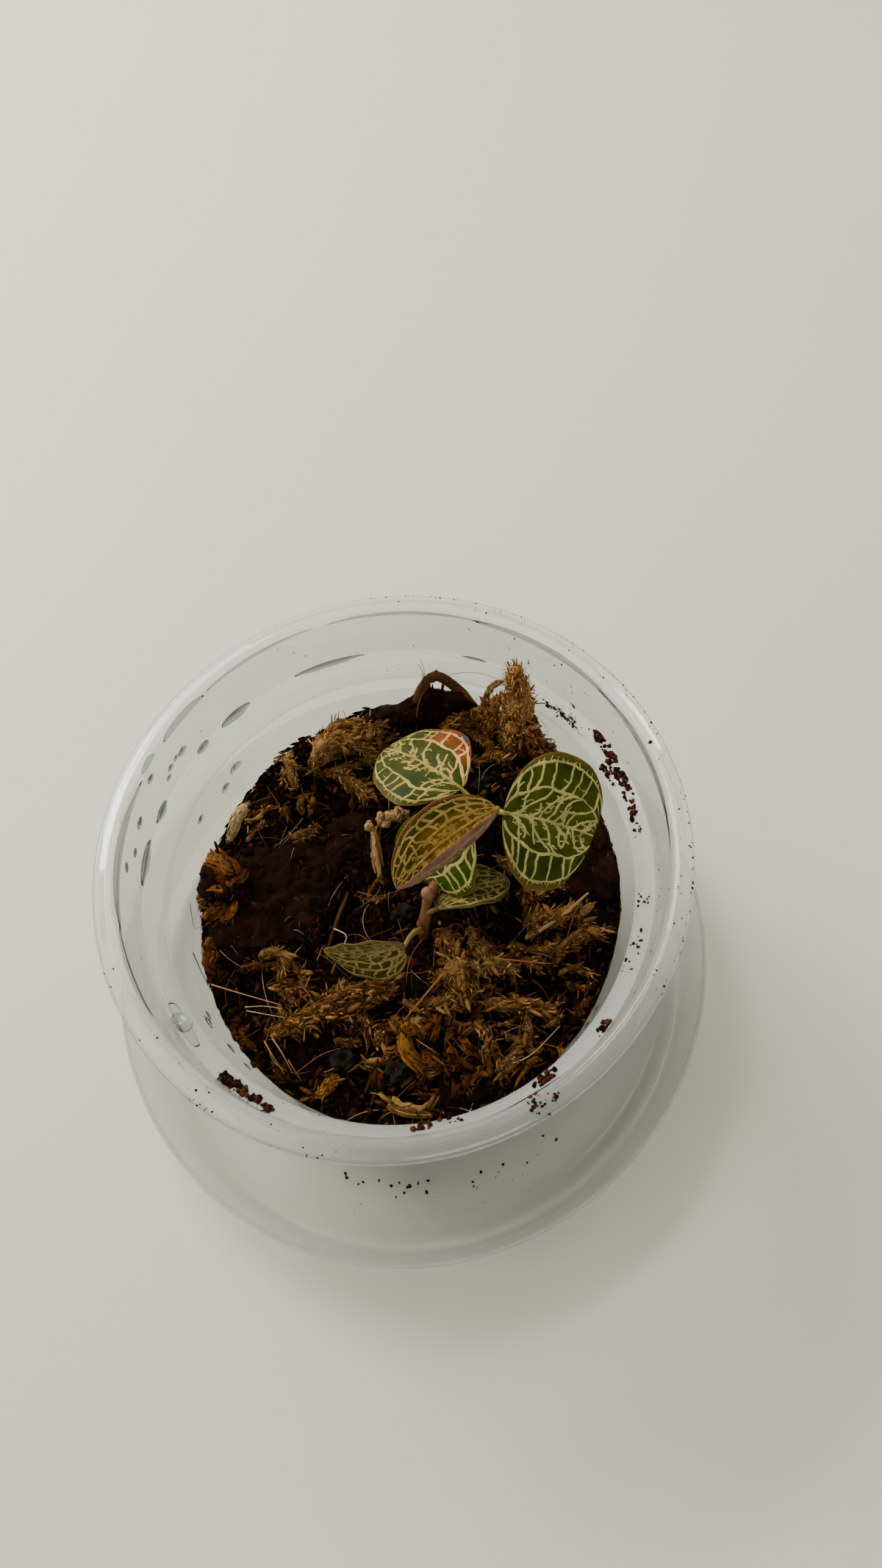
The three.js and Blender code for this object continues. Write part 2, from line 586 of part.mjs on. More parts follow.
seat('stem', stemSolid, COLOURS.stem, { roughness: 0.55 });
for (const [name, leaf] of Object.entries(LEAVES)) {
  const colour = LEAF_COLOURS[name] ?? COLOURS.leaf;
  seat(name, (grow) => leafSolid(leaf, grow), colour, { roughness: 0.5 });
}
for (const [name, shape] of Object.entries(STRANDS)) {
  const colour = name.startsWith('moss') ? COLOURS.moss : COLOURS.bark;
  seat(name, (grow) => strand({ ...shape, path: shape.path.map(onMix) }, grow), colour);
}
Object.entries(LUMPS).forEach(([name, shape], i) => {
  const [kind] = name.split('_');
  const stone = kind === 'gravel';
  const form = stone ? { rough: 0.14, flatBelow: 0.5 } : { rough: 0.12, squareness: 5, detail: 2 };
  const centre = onMix(shape.centre);
  const colour = { husk: COLOURS.husk, bark: COLOURS.bark, gravel: COLOURS.stone }[kind];
  seat(name, (grow) => lump({ ...shape, ...form, centre, seed: 7 + i }, grow), colour);
});
seat('bark_curls', curlsSolid, COLOURS.curl);
Object.entries(CLUMPS).forEach(([name, shape], i) => {
  seat(name, (grow) => clumpSolid(shape, 11 + i, grow), COLOURS.moss);
});
seat('mix', () => mixSolid(room), COLOURS.mix);

export default orchid;
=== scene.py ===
"""A young jewel orchid in a clear cup of bark and moss mix, on a clear saucer."""
import math

import bpy
import numpy as np
from mathutils import Matrix, Vector


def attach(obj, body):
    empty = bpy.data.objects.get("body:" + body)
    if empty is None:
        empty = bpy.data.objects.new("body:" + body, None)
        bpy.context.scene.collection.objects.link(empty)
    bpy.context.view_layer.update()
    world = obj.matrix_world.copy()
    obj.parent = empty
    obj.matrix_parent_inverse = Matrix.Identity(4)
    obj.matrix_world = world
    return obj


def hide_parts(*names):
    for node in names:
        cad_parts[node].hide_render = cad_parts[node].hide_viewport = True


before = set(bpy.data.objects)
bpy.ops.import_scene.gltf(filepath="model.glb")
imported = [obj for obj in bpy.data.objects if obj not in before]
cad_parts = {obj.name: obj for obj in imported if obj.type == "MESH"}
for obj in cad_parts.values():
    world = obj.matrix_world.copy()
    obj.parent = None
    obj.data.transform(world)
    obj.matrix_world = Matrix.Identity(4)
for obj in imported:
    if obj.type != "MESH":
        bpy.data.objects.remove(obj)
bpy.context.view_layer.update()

MM = 0.001
SEED = 20

# ---------------------------------------------------------------- shapes shared with the solids, in mm

SAUCER_PROFILE = [
    (0, 0), (60, 0), (63.4, 0.9), (65, 3.4), (68.4, 15.8), (68.7, 16.6), (68.4, 17), (67.8, 16.5),
    (64.1, 3.9), (62.5, 2.2), (59.6, 1.5), (0, 1.5),
]
SAUCER_FLOOR = 1.5
CUP_OUTSIDE = [
    (0, 3.3), (38.8, 3.3), (39.8, 1.8), (42.2, 1.8), (43.2, 3.2), (49.3, 55.5), (53.1, 60.2), (54.6, 74.7),
    (55.6, 75.6), (57.9, 74.0), (58.5, 74.8), (58.0, 75.6),
]
CUP_INSIDE = [
    (55.0, 76.6), (53.8, 75.2), (52.3, 61.2), (51.5, 60.0), (49.0, 57.4), (48.4, 56.4), (42.4, 5.5),
    (40.8, 4.1),
]
CUP_FLOOR = 4.1
CUP_TOP = 76.5  # no crumb stands over this
WALL_MIDDLE = ((55.5, 60.2, 74.7), (48.9, 52.7, 54.2))  # heights, and radii between the two faces of the wall
MILKY_SHOULDER = (56.2, 61.2)  # heights from and to
MILKY_RIM = 75.3
CLEAR_WALL = (6, 45)
TAPER = dict(foot=5.5, top=56.4, radius=42.1, widens=5.95)  # the wall that the mix keeps to, inside the cup's
STEPS_OUT = ((57.5, 50.0), (60.5, 52.2))  # above these heights, the radii inside the ledge and the collar
DRAINS = dict(count=4, radius=2.5, circle=24)
MIX = dict(centre=40.5, slope=(0.1, 0.1), lump=1.5, bottom=4.4)

STEM_PATH = [
    (1.2, -9.0, 33), (2.1, -7.6, 42), (3.0, -5.9, 46.5), (4.4, -3.4, 50), (8.1, 0.4, 51.6), (12.7, 3.0, 53.6),
    (16.5, 5.1, 57), (19.7, 5.7, 62), (21.7, 5.8, 66),
]
STEM_NODES = (0.3, 0.42, 0.62, 0.8)
BUD_PATH = [(4.3, -3.2, 50.4), (4.3, -3.2, 51.4), (4.3, -3.2, 52.8), (4.3, -3.2, 54.2)]

LEAVES = dict(
    leaf_right=dict(
        base=(22.6, 4.1, 67.8), length=21.9, heading=-12.6, swerve=-5, pitch=(-19, -40), roll=28, left=14.7,
        right=14.6, belly=0.48, foot=1.94, tip=0.34, left_fold=(9, -8), right_fold=(8, -11),
        petiole=[(21.6, 5.4, 66.2), (22.0, 4.8, 67.2)]),
    leaf_centre=dict(
        base=(21.3, 5.2, 67.9), length=26.5, heading=199, swerve=10, pitch=(16, -37), roll=-18, left=9.2,
        right=8.4, belly=0.45, foot=1.55, tip=0.79, left_fold=(-22, 165), right_fold=(24, 28),
        petiole=[(21.7, 5.8, 66.2), (21.6, 5.5, 67.2)]),
    leaf_upper_left=dict(
        base=(15.7, 12.8, 64.3), length=25.2, heading=127, swerve=1.5, pitch=(1.5, -46), roll=4.5, left=11.4,
        right=11.4, belly=0.34, foot=1.38, tip=0.57, left_fold=(8, -11), right_fold=(7, -13),
        petiole=[(19.4, 6.0, 61.4), (18.0, 9.0, 63.4)]),
    leaf_under=dict(
        base=(15.9, 4.5, 62.1), length=20.7, heading=185, swerve=-4.5, pitch=(-8, -87), roll=-33, left=12.2,
        right=8.3, belly=0.45, foot=1.9, tip=0.54, left_fold=(8, -9), right_fold=(12, 0),
        petiole=[(18.2, 5.4, 59.8), (17.2, 5.0, 61.4)]),
    leaf_back=dict(
        base=(5.6, -6.2, 50.3), length=17.8, heading=28, swerve=-33, pitch=(5, -27), roll=-29, left=7.5,
        right=7.1, belly=0.55, foot=1.5, tip=0.72, left_fold=(8, -4), right_fold=(9, -3),
        petiole=[(3.3, -5.6, 47.2), (4.4, -6.2, 49.2)]),
    leaf_low=dict(
        base=(-2.5, -12.0, 48.8), length=18, heading=179, swerve=-28, pitch=(-4, -23), roll=-65, left=8.1,
        right=6.7, belly=0.3, foot=2.1, tip=0.85, left_fold=(9, 0), right_fold=(18, 36),
        petiole=[(2.0, -7.4, 42.4), (0.4, -8.6, 46.2), (-1.2, -10.4, 48.4)]),
)
BLADE_THICKNESS = 0.5
VEIN_LIFT = 0.06  # the vein net's top above the blade


# ---------------------------------------------------------------- numbers

def lattice(x, y, z):
    mixed = np.sin(x * 127.1 + y * 311.7 + z * 74.7) * 43758.5453
    return 2 * (mixed - np.floor(mixed)) - 1


def noise(x, y, z):
    """Smooth noise from -1 to 1."""
    x, y, z = np.broadcast_arrays(*(np.asarray(v, float) for v in (x, y, z)))
    cells = [np.floor(v) for v in (x, y, z)]
    eased = [(v - c) ** 2 * (3 - 2 * (v - c)) for v, c in zip((x, y, z), cells)]
    total = np.zeros(x.shape)
    for corner in range(8):
        step = [(corner >> axis) & 1 for axis in range(3)]
        weight = np.ones(x.shape)
        for on, part in zip(step, eased):
            weight = weight * (part if on else 1 - part)
        total += weight * lattice(*(c + s for c, s in zip(cells, step)))
    return total


def half_noise(x, y, z):
    """Smooth noise from 0 to 1."""
    return 0.5 + 0.5 * noise(x, y, z)


def unit(v):
    v = np.asarray(v, float)
    return v / np.maximum(np.linalg.norm(v, axis=-1, keepdims=True), 1e-9)


def polar(radius, angle, z):
    """Points at a radius and an angle round Z."""
    return np.stack(np.broadcast_arrays(radius * np.cos(angle), radius * np.sin(angle), z), -1)


def cosines(angle):
    return math.cos(angle), math.sin(angle)


def mix_height(x, y):
    """Height of the growing mix, as in the solids."""
    slope = MIX["centre"] + MIX["slope"][0] * x + MIX["slope"][1] * y
    return slope + MIX["lump"] * noise(x / 13, y / 13, 3) + 0.4 * MIX["lump"] * noise(x / 6, y / 6, 9)


def on_mix(path):
    """Points whose heights are given above the mix, turned to true heights."""
    return [(x, y, mix_height(x, y) + height) for x, y, height in path]


def lifted(path, height):
    """Points on the mix, raised towards the middle of the path."""
    bow = np.sin(np.pi * (0.12 + 0.76 * np.linspace(0, 1, len(path))))
    return [(x, y, float(mix_height(x, y)) + height * b) for (x, y), b in zip(path, bow)]


def taper_radius(z, margin):
    """Radius that the mix keeps to inside the cup's tapering wall, less a margin."""
    height = TAPER["top"] - TAPER["foot"]
    return TAPER["radius"] + TAPER["widens"] * (z - TAPER["foot"]) / height - margin


def inside_wall(x, y, z, margin):
    """The same place, pulled in where it would touch the cup's wall, ledge or collar."""
    limit = taper_radius(np.minimum(z, TAPER["top"]), margin)
    for height, radius in STEPS_OUT:
        limit = np.where(z > height, radius - margin, limit)
    pull = np.minimum(1, limit / np.maximum(np.hypot(x, y), 1e-6))
    return x * pull, y * pull


def points_inside_wall(points):
    x, y, z = np.transpose(points)
    return np.stack([*inside_wall(x, y, z, 0.5), z], -1)


def wall_at(z):
    """Inner radius of the cup and the inward tilt of its surface at a height."""
    radii, heights = np.transpose(CUP_INSIDE[-2::-1])
    reach = 0.3
    tilt = (np.interp(z + reach, heights, radii) - np.interp(z - reach, heights, radii)) / (2 * reach)
    return np.interp(z, heights, radii), np.arctan(tilt)


def smooth_path(points, count):
    """A Catmull-Rom curve through the points, at even steps."""
    p = np.asarray(points, float)
    p = np.vstack([2 * p[0] - p[1], p, 2 * p[-1] - p[-2]])
    t = np.linspace(0, 1, 16, endpoint=False)[:, None]
    dense = []
    for a, b, c, d in zip(p, p[1:], p[2:], p[3:]):
        bend = 2 * a - 5 * b + 4 * c - d
        dense.append(0.5 * (2 * b + (c - a) * t + bend * t**2 + (3 * b - a - 3 * c + d) * t**3))
    dense = np.vstack(dense + [p[-2][None]])
    along = np.r_[0, np.cumsum(np.linalg.norm(np.diff(dense, axis=0), axis=1))]
    want = np.linspace(0, along[-1], count)
    return np.stack([np.interp(want, along, dense[:, k]) for k in range(dense.shape[1])], axis=1)


def path_length(path):
    return np.sum(np.linalg.norm(np.diff(np.asarray(path, float), axis=0), axis=1))


def blend(first, second, amount):
    """Two colours mixed by an amount from 0 to 1 for each point."""
    amount = np.clip(np.asarray(amount, float), 0, 1)[..., None]
    return np.asarray(first) * (1 - amount) + np.asarray(second) * amount


def pick(rng, palette, count):
    """A tint of the palette for each of count shreds."""
    return palette[rng.integers(len(palette), size=count)]


# ---------------------------------------------------------------- mesh building

def link(name, data):
    thing = bpy.data.objects.new(name, data)
    bpy.context.scene.collection.objects.link(thing)
    return thing


class Shape:
    """Collects vertices, faces and a tint for each vertex, in millimetres."""

    def __init__(self):
        self.verts, self.faces, self.tints, self.count = [], [], [], 0

    def add(self, verts, faces, tint):
        verts = np.asarray(verts, float)
        tint = np.broadcast_to(np.asarray(tint, float), (len(verts), 3))
        self.verts.append(verts)
        self.tints.append(tint)
        self.faces.extend(tuple(i + self.count for i in face) for face in faces)
        self.count += len(verts)

    def mesh(self, name):
        mesh = bpy.data.meshes.new(name)
        mesh.from_pydata((np.vstack(self.verts) * MM).tolist(), [], self.faces)
        return mesh

    def piece(self, name, surface, slot, replaces=()):
        mesh = self.mesh(name)
        tints = np.hstack([np.vstack(self.tints), np.ones((self.count, 1))])
        layer = mesh.color_attributes.new("tint", "FLOAT_COLOR", "POINT")
        layer.data.foreach_set("color", tints.astype(np.float32).ravel())
        mesh.polygons.foreach_set("use_smooth", [True] * len(mesh.polygons))
        mesh.validate()
        obj = link(name, mesh)
        mesh.materials.append(surface)
        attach(obj, "root")
        if replaces:
            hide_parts(*replaces)
        return obj


def grid_faces(rows, columns, wrap=False, flip=False):
    """Quads of a grid of points, row by row; wrap joins the last column to the first."""
    faces = []
    for i in range(rows - 1):
        for j in range(columns if wrap else columns - 1):
            k = (j + 1) % columns
            quad = (i * columns + j, i * columns + k, (i + 1) * columns + k, (i + 1) * columns + j)
            faces.append(quad[::-1] if flip else quad)
    return faces


def capped_faces(rows, columns):
    """Faces of a closed tube of points, whose two end points come after the rows."""
    faces = grid_faces(rows, columns, wrap=True)
    cap, last = rows * columns, (rows - 1) * columns
    for j in range(columns):
        k = (j + 1) % columns
        faces.append((cap, k, j))
        faces.append((cap + 1, last + j, last + k))
    return faces


def rounded(profile, cut, steps=4):
    """The open profile with each inner corner turned into a small curve."""
    points = [np.array(p, float) for p in profile]
    out = [points[0]]
    for before, corner, after in zip(points, points[1:], points[2:]):
        reach_in = min(cut, 0.45 * np.linalg.norm(corner - before))
        reach_out = min(cut, 0.45 * np.linalg.norm(after - corner))
        start = corner + (before - corner) / np.linalg.norm(before - corner) * reach_in
        end = corner + (after - corner) / np.linalg.norm(after - corner) * reach_out
        for t in np.linspace(0, 1, steps):
            out.append((1 - t) ** 2 * start + 2 * t * (1 - t) * corner + t**2 * end)
    out.append(points[-1])
    return np.array(out)


def lathe(shape, profile, segments=192):
    """A closed solid of revolution about Z whose profile starts and ends on the axis."""
    angles = np.linspace(0, 2 * np.pi, segments, endpoint=False)
    body = profile[1:-1]
    rings = np.array([[(r * math.cos(a), r * math.sin(a), z) for a in angles] for r, z in body])
    verts = np.vstack([rings.reshape(-1, 3), [(0, 0, profile[0][1]), (0, 0, profile[-1][1])]])
    shape.add(verts, capped_faces(len(body), segments), (1, 1, 1))


def tube(shape, path, radius, tint, sides, flat=1.0, twist=0.0, up=(0.1, 0.2, 1)):
    """A tube with a radius and a tint for each point of its path."""
    path = np.asarray(path, float)
    count = len(path)
    radius = np.broadcast_to(np.asarray(radius, float), count)
    tangent = unit(np.gradient(path, axis=0))
    side = unit(np.cross(tangent, np.asarray(up, float)))
    rise = np.cross(side, tangent)
    angle = np.linspace(0, 2 * np.pi, sides, endpoint=False)[None, :]
    angle = angle + twist * np.linspace(0, 1, count)[:, None]
    ring = side[:, None] * np.cos(angle)[..., None] + flat * rise[:, None] * np.sin(angle)[..., None]
    verts = (path[:, None] + ring * radius[:, None, None]).reshape(-1, 3)
    tint = np.asarray(tint, float)
    if tint.ndim == 2:
        tint = np.vstack([np.repeat(tint, sides, axis=0), tint[0], tint[-1]])
    shape.add(np.vstack([verts, path[0], path[-1]]), capped_faces(count, sides), tint)


# ---------------------------------------------------------------- surfaces

class Surface:
    """A node material round one Principled shader; its noises lie in object coordinates, in metres."""

    def __init__(self, name, **values):
        self.material = bpy.data.materials.new(name)
        self.material.use_nodes = True
        self.tree = self.material.node_tree
        self.shader = self.tree.nodes["Principled BSDF"]
        for key, value in values.items():
            self.shader.inputs[key.replace("_", " ").title().replace("Ior", "IOR")].default_value = value

    def node(self, kind, values=None, **settings):
        node = self.tree.nodes.new("ShaderNode" + kind)
        for key, value in settings.items():
            setattr(node, key, value)
        for key, value in (values or {}).items():
            if isinstance(value, bpy.types.NodeSocket):
                self.tree.links.new(value, node.inputs[key])
            else:
                node.inputs[key].default_value = value
        return node

    def place(self):
        return self.node("TexCoord").outputs["Object"]

    def noise(self, scale, detail, rough):
        values = {"Vector": self.place(), "Scale": scale, "Detail": detail, "Roughness": rough}
        return self.node("TexNoise", values).outputs["Fac"]

    def cells(self, scale):
        return self.node("TexVoronoi", {"Vector": self.place(), "Scale": scale}).outputs["Distance"]

    def ramp(self, value, low, high, out_low=0.0, out_high=1.0):
        values = {"Value": value, "From Min": low, "From Max": high, "To Min": out_low, "To Max": out_high}
        return self.node("MapRange", values).outputs["Result"]

    def mix(self, factor, first, second, blend_type="MIX"):
        """Two colours mixed; the Mix node keeps its colour sockets at 6 and 7 and its colour output at 2."""
        values = {0: factor}
        for index, colour in ((6, first), (7, second)):
            values[index] = colour if isinstance(colour, bpy.types.NodeSocket) else (*colour, 1)
        return self.node("Mix", values, data_type="RGBA", blend_type=blend_type).outputs[2]

    def combine(self, operation, first, second):
        return self.node("Math", {0: first, 1: second}, operation=operation).outputs[0]

    def tint(self):
        return self.node("Attribute", attribute_name="tint").outputs["Color"]

    def join(self, value, socket):
        self.tree.links.new(value, self.shader.inputs[socket])

    def shade_tint(self, first, second):
        """Colour from the tint of the mesh, lightened and darkened by two values."""
        both = self.combine("MULTIPLY", first, second)
        grey = self.node("CombineColor", {0: both, 1: both, 2: both}).outputs[0]
        self.join(self.mix(1.0, self.tint(), grey, "MULTIPLY"), "Base Color")

    def bump(self, height, distance, strength=1.0):
        node = self.node("Bump", {"Height": height, "Strength": strength, "Distance": distance})
        self.join(node.outputs["Normal"], "Normal")


def clear_plastic(name, frost=0.0, body=0.5, clarity=0.86):
    """Thin moulded plastic; frost makes it milkier, body more solid, clarity less hazy."""
    s = Surface(name, base_color=(0.92, 0.92, 0.895, 1), roughness=0.05 + 0.25 * frost, ior=1.36,
                transmission_weight=clarity - 0.5 * frost, coat_weight=0.7, coat_roughness=0.03,
                alpha=body + 0.4 * frost)
    s.join(s.ramp(s.noise(90, 5, 0.6), 0.45, 0.75, 0.03 + 0.2 * frost, 0.14 + 0.3 * frost), "Roughness")
    s.bump(s.noise(160, 2, 0.5), 0.00006, 0.35)
    return s.material


def grainy(name, scale, contrast, bump, roughness):
    """A dry or crumbly surface whose tint is broken up by noise."""
    s = Surface(name, roughness=roughness, specular_ior_level=0.07)
    grain = s.noise(scale, 6, 0.65)
    fine = s.noise(scale * 4.3, 4, 0.7)
    shade = s.ramp(grain, 0.3, 0.7, 1 - contrast, 1 + contrast * 0.8)
    shade_fine = s.ramp(fine, 0.3, 0.7, 1 - contrast * 0.5, 1 + contrast * 0.5)
    s.shade_tint(shade, shade_fine)
    s.bump(s.combine("ADD", grain, fine), bump)
    return s.material


def blade_surface(name):
    """Velvety leaf skin, mottled and speckled over its tint."""
    s = Surface(name, roughness=0.5, specular_ior_level=0.1)
    mottle = s.ramp(s.noise(420, 4, 0.6), 0.3, 0.7, 0.72, 1.25)
    speckle = s.ramp(s.cells(3200), 0.0, 0.6, 0.86, 1.14)
    s.shade_tint(mottle, speckle)
    s.join(s.ramp(s.noise(900, 3, 0.6), 0.3, 0.7, 0.42, 0.6), "Roughness")
    s.bump(s.cells(2400), 0.00008, 0.6)
    return s.material


def water_surface():
    s = Surface("water", roughness=0.02, ior=1.33, transmission_weight=1.0)
    s.join(s.tint(), "Base Color")
    s.bump(s.noise(500, 2, 0.5), 0.00004, 0.3)
    return s.material


def floor_surface():
    s = Surface("table_top", roughness=0.55, specular_ior_level=0.3)
    cloudy = s.ramp(s.noise(3, 4, 0.5), 0.3, 0.7)
    s.join(s.mix(cloudy, (0.695, 0.70, 0.58), (0.73, 0.735, 0.615)), "Base Color")
    s.bump(s.noise(1500, 3, 0.6), 0.00002, 0.3)
    return s.material


# ---------------------------------------------------------------- camera, floor and light

def look_matrix(yaw, pitch, place):
    """World matrix of a camera: its yaw is clockwise from +Y, and its pitch negative when it looks down."""
    (cy, sy), (cp, sp) = cosines(yaw), cosines(pitch)
    ahead = np.array([sy * cp, cy * cp, sp])
    right = np.array([cy, -sy, 0])
    matrix = np.eye(4)
    matrix[:3] = np.stack([right, np.cross(right, ahead), -ahead, place], axis=1)
    return Matrix(matrix.tolist())


def add_camera():
    """The photograph's camera: its frame, focal length and optical centre in pixels."""
    width, height, focal = 1200, 2134, 1612.0
    centre_x, centre_y = 691.8, 835.1
    camera = link("camera", bpy.data.cameras.new("camera"))
    camera.data.sensor_width = 36
    camera.data.lens = 36 * focal / height
    camera.data.shift_x = (width / 2 - centre_x) / height
    camera.data.shift_y = (centre_y - height / 2) / height
    camera.data.clip_start = 0.01
    place = np.array([0, -94.42, 292.56]) * MM
    camera.matrix_world = look_matrix(math.radians(13.509), math.radians(-56.245), place)
    bpy.context.scene.camera = camera


LIGHTS = dict(  # place and target in metres, size, power and colour
    window=((-0.42, 0.64, 0.66), (-0.02, 0.05, 0.03), (0.6, 0.5), 11.2, (1.0, 0.985, 0.925)),
    lamp=((-0.35, 0.72, 0.92), (0, 0, 0.05), (0.5, 0.06), 3.0, (1.0, 0.99, 0.95)),
    low_left=((-0.85, 0.75, 0.3), (0, 0, 0.06), (0.5, 0.3), 5.0, (1.0, 0.99, 0.95)),
    low_right=((0.95, 0.7, 0.3), (0, 0, 0.06), (0.3, 0.25), 2.2, (1.0, 0.99, 0.95)),
    front=((0.05, -0.8, 1.0), (0, 0, 0.06), (0.5, 0.3), 2.2, (1.0, 0.985, 0.94)),
    fill=((0.8, 0.3, 0.8), (0, 0, 0.03), (0.8, 0.8), 1.2, (1.0, 0.99, 0.95)),
)


def add_stage():
    half, under = 3000, -0.02
    corners = [(x * half, y * half, under) for x, y in ((-1, -1), (1, -1), (1, 1), (-1, 1))]
    shape = Shape()
    shape.add(corners, [(0, 1, 2, 3)], (1, 1, 1))
    floor = link("floor", shape.mesh("floor"))
    floor.data.materials.append(floor_surface())

    world = bpy.data.worlds.new("studio")
    bpy.context.scene.world = world
    world.use_nodes = True
    background = world.node_tree.nodes["Background"]
    background.inputs["Color"].default_value = (1.0, 0.99, 0.94, 1)
    background.inputs["Strength"].default_value = 0.40

    for name, (place, target, size, power, colour) in LIGHTS.items():
        data = bpy.data.lights.new(name, "AREA")
        data.shape = "RECTANGLE"
        data.size, data.size_y = size
        data.energy = power
        data.color = colour
        light = link(name, data)
        light.location = place
        light.rotation_euler = (Vector(target) - Vector(place)).to_track_quat("-Z", "Y").to_euler()


# ---------------------------------------------------------------- cup and saucer

def drill_holes(piece):
    """Cut the drain holes out of the cup's floor."""
    drill = Shape()
    for i in range(DRAINS["count"]):
        cosine, sine = cosines((i + 0.5) / DRAINS["count"] * 2 * math.pi)
        x, y = DRAINS["circle"] * cosine, DRAINS["circle"] * sine
        tube(drill, [(x, y, 0.5), (x, y, 7)], DRAINS["radius"], (1, 1, 1), sides=24, up=(1, 0, 0))
    cutter = link("drill", drill.mesh("drill"))
    cut = piece.modifiers.new("drains", "BOOLEAN")
    cut.object, cut.operation = cutter, "DIFFERENCE"
    bpy.context.view_layer.update()
    cut_mesh = bpy.data.meshes.new_from_object(piece.evaluated_get(bpy.context.evaluated_depsgraph_get()))
    piece.modifiers.clear()
    piece.data = cut_mesh
    bpy.data.objects.remove(cutter)


def add_vessels():
    saucer = Shape()
    lathe(saucer, rounded(SAUCER_PROFILE, 1.2))
    saucer.piece("saucer_clear", clear_plastic("clear_saucer", 0.0, 0.66), "clear_plastic", ["saucer"])
    cup = Shape()
    lathe(cup, rounded(CUP_OUTSIDE + CUP_INSIDE + [(0, CUP_FLOOR)], 0.7))
    piece = cup.piece("cup_clear", clear_plastic("clear_cup"), "clear_plastic", ["cup"])
    drill_holes(piece)
    for surface in (("milky_shoulder", 0.5), ("milky_rim", 0.1), ("clear_wall", 0.0, 0.22, 0.98)):
        piece.data.materials.append(clear_plastic(*surface))
    shoulder, rim, wall = 1, 2, 3
    for face in piece.data.polygons:
        out, z = math.hypot(face.center[0], face.center[1]) / MM, face.center[2] / MM
        inside = out < np.interp(z, *WALL_MIDDLE)
        if inside and MILKY_SHOULDER[0] < z < MILKY_SHOULDER[1]:
            face.material_index = shoulder
        elif z > MILKY_RIM:
            face.material_index = rim
        elif CLEAR_WALL[0] < z < CLEAR_WALL[1]:
            face.material_index = wall


# ---------------------------------------------------------------- leaves

# Colours of each leaf, the spacing of its net's rungs and twigs in mm, and the net's arcs as shares of the
# half-width.
LEAF_LOOKS = dict(
    leaf_right=dict(
        deep=(0.018, 0.028, 0.0004), light=(0.070, 0.080, 0.001), margin=(0.078, 0.062, 0.006),
        vein=(0.47, 0.42, 0.14), under=(0.16, 0.10, 0.07), rung=3.0, twig=1.45, arcs=(0.46, 0.86)),
    leaf_centre=dict(
        deep=(0.12, 0.062, 0.001), light=(0.26, 0.135, 0.003), margin=(0.17, 0.060, 0.014),
        vein=(0.50, 0.32, 0.08), under=(0.17, 0.088, 0.056), rung=2.6, twig=1.25, arcs=(0.34, 0.62, 0.84)),
    leaf_upper_left=dict(
        deep=(0.018, 0.028, 0.0003), light=(0.046, 0.056, 0.0008), margin=(0.060, 0.044, 0.004),
        vein=(0.40, 0.295, 0.080), under=(0.18, 0.12, 0.07), rung=3.2, twig=1.9, arcs=(0.52, 0.86)),
    leaf_under=dict(
        deep=(0.022, 0.042, 0.0006), light=(0.058, 0.088, 0.002), margin=(0.050, 0.070, 0.003),
        vein=(0.47, 0.41, 0.14), under=(0.16, 0.12, 0.07), rung=2.8, twig=1.6, arcs=(0.44, 0.84)),
    leaf_back=dict(
        deep=(0.022, 0.017, 0.001), light=(0.040, 0.032, 0.002), margin=(0.030, 0.026, 0.003),
        vein=(0.22, 0.165, 0.045), under=(0.10, 0.07, 0.04), rung=2.3, twig=1.4, arcs=(0.30, 0.55, 0.84)),
    leaf_low=dict(
        deep=(0.050, 0.034, 0.002), light=(0.080, 0.058, 0.005), margin=(0.085, 0.068, 0.010),
        vein=(0.32, 0.245, 0.080), under=(0.11, 0.08, 0.05), rung=2.4, twig=1.4, arcs=(0.34, 0.60, 0.90)),
)


def outline(share, leaf):
    """Half-width of a leaf as a share of its widest."""
    share = np.clip(np.asarray(share, float), 0, 1)
    belly, foot, tip = leaf["belly"], leaf["foot"], leaf["tip"]
    low = np.clip((belly - share) / belly, 0, 1)
    high = np.clip((share - belly) / (1 - belly), 0, 1)
    return np.where(share < belly, (1 - low**foot) ** (1 / foot), np.clip(1 - high**2, 0, 1) ** tip)


def blade_axes(leaf, share):
    """Directions ahead, to the left and up from the blade at a share of its length."""
    heading = np.radians(leaf["heading"] + leaf["swerve"] * share)
    pitch = np.radians(leaf["pitch"][0] + (leaf["pitch"][1] - leaf["pitch"][0]) * share)
    ahead = polar(np.cos(pitch), heading, np.sin(pitch))
    level = np.stack([-np.sin(heading), np.cos(heading), 0 * share], -1)
    up = np.cross(ahead, level)
    cosine, sine = cosines(math.radians(leaf["roll"]))
    return ahead, level * cosine + up * sine, up * cosine - level * sine


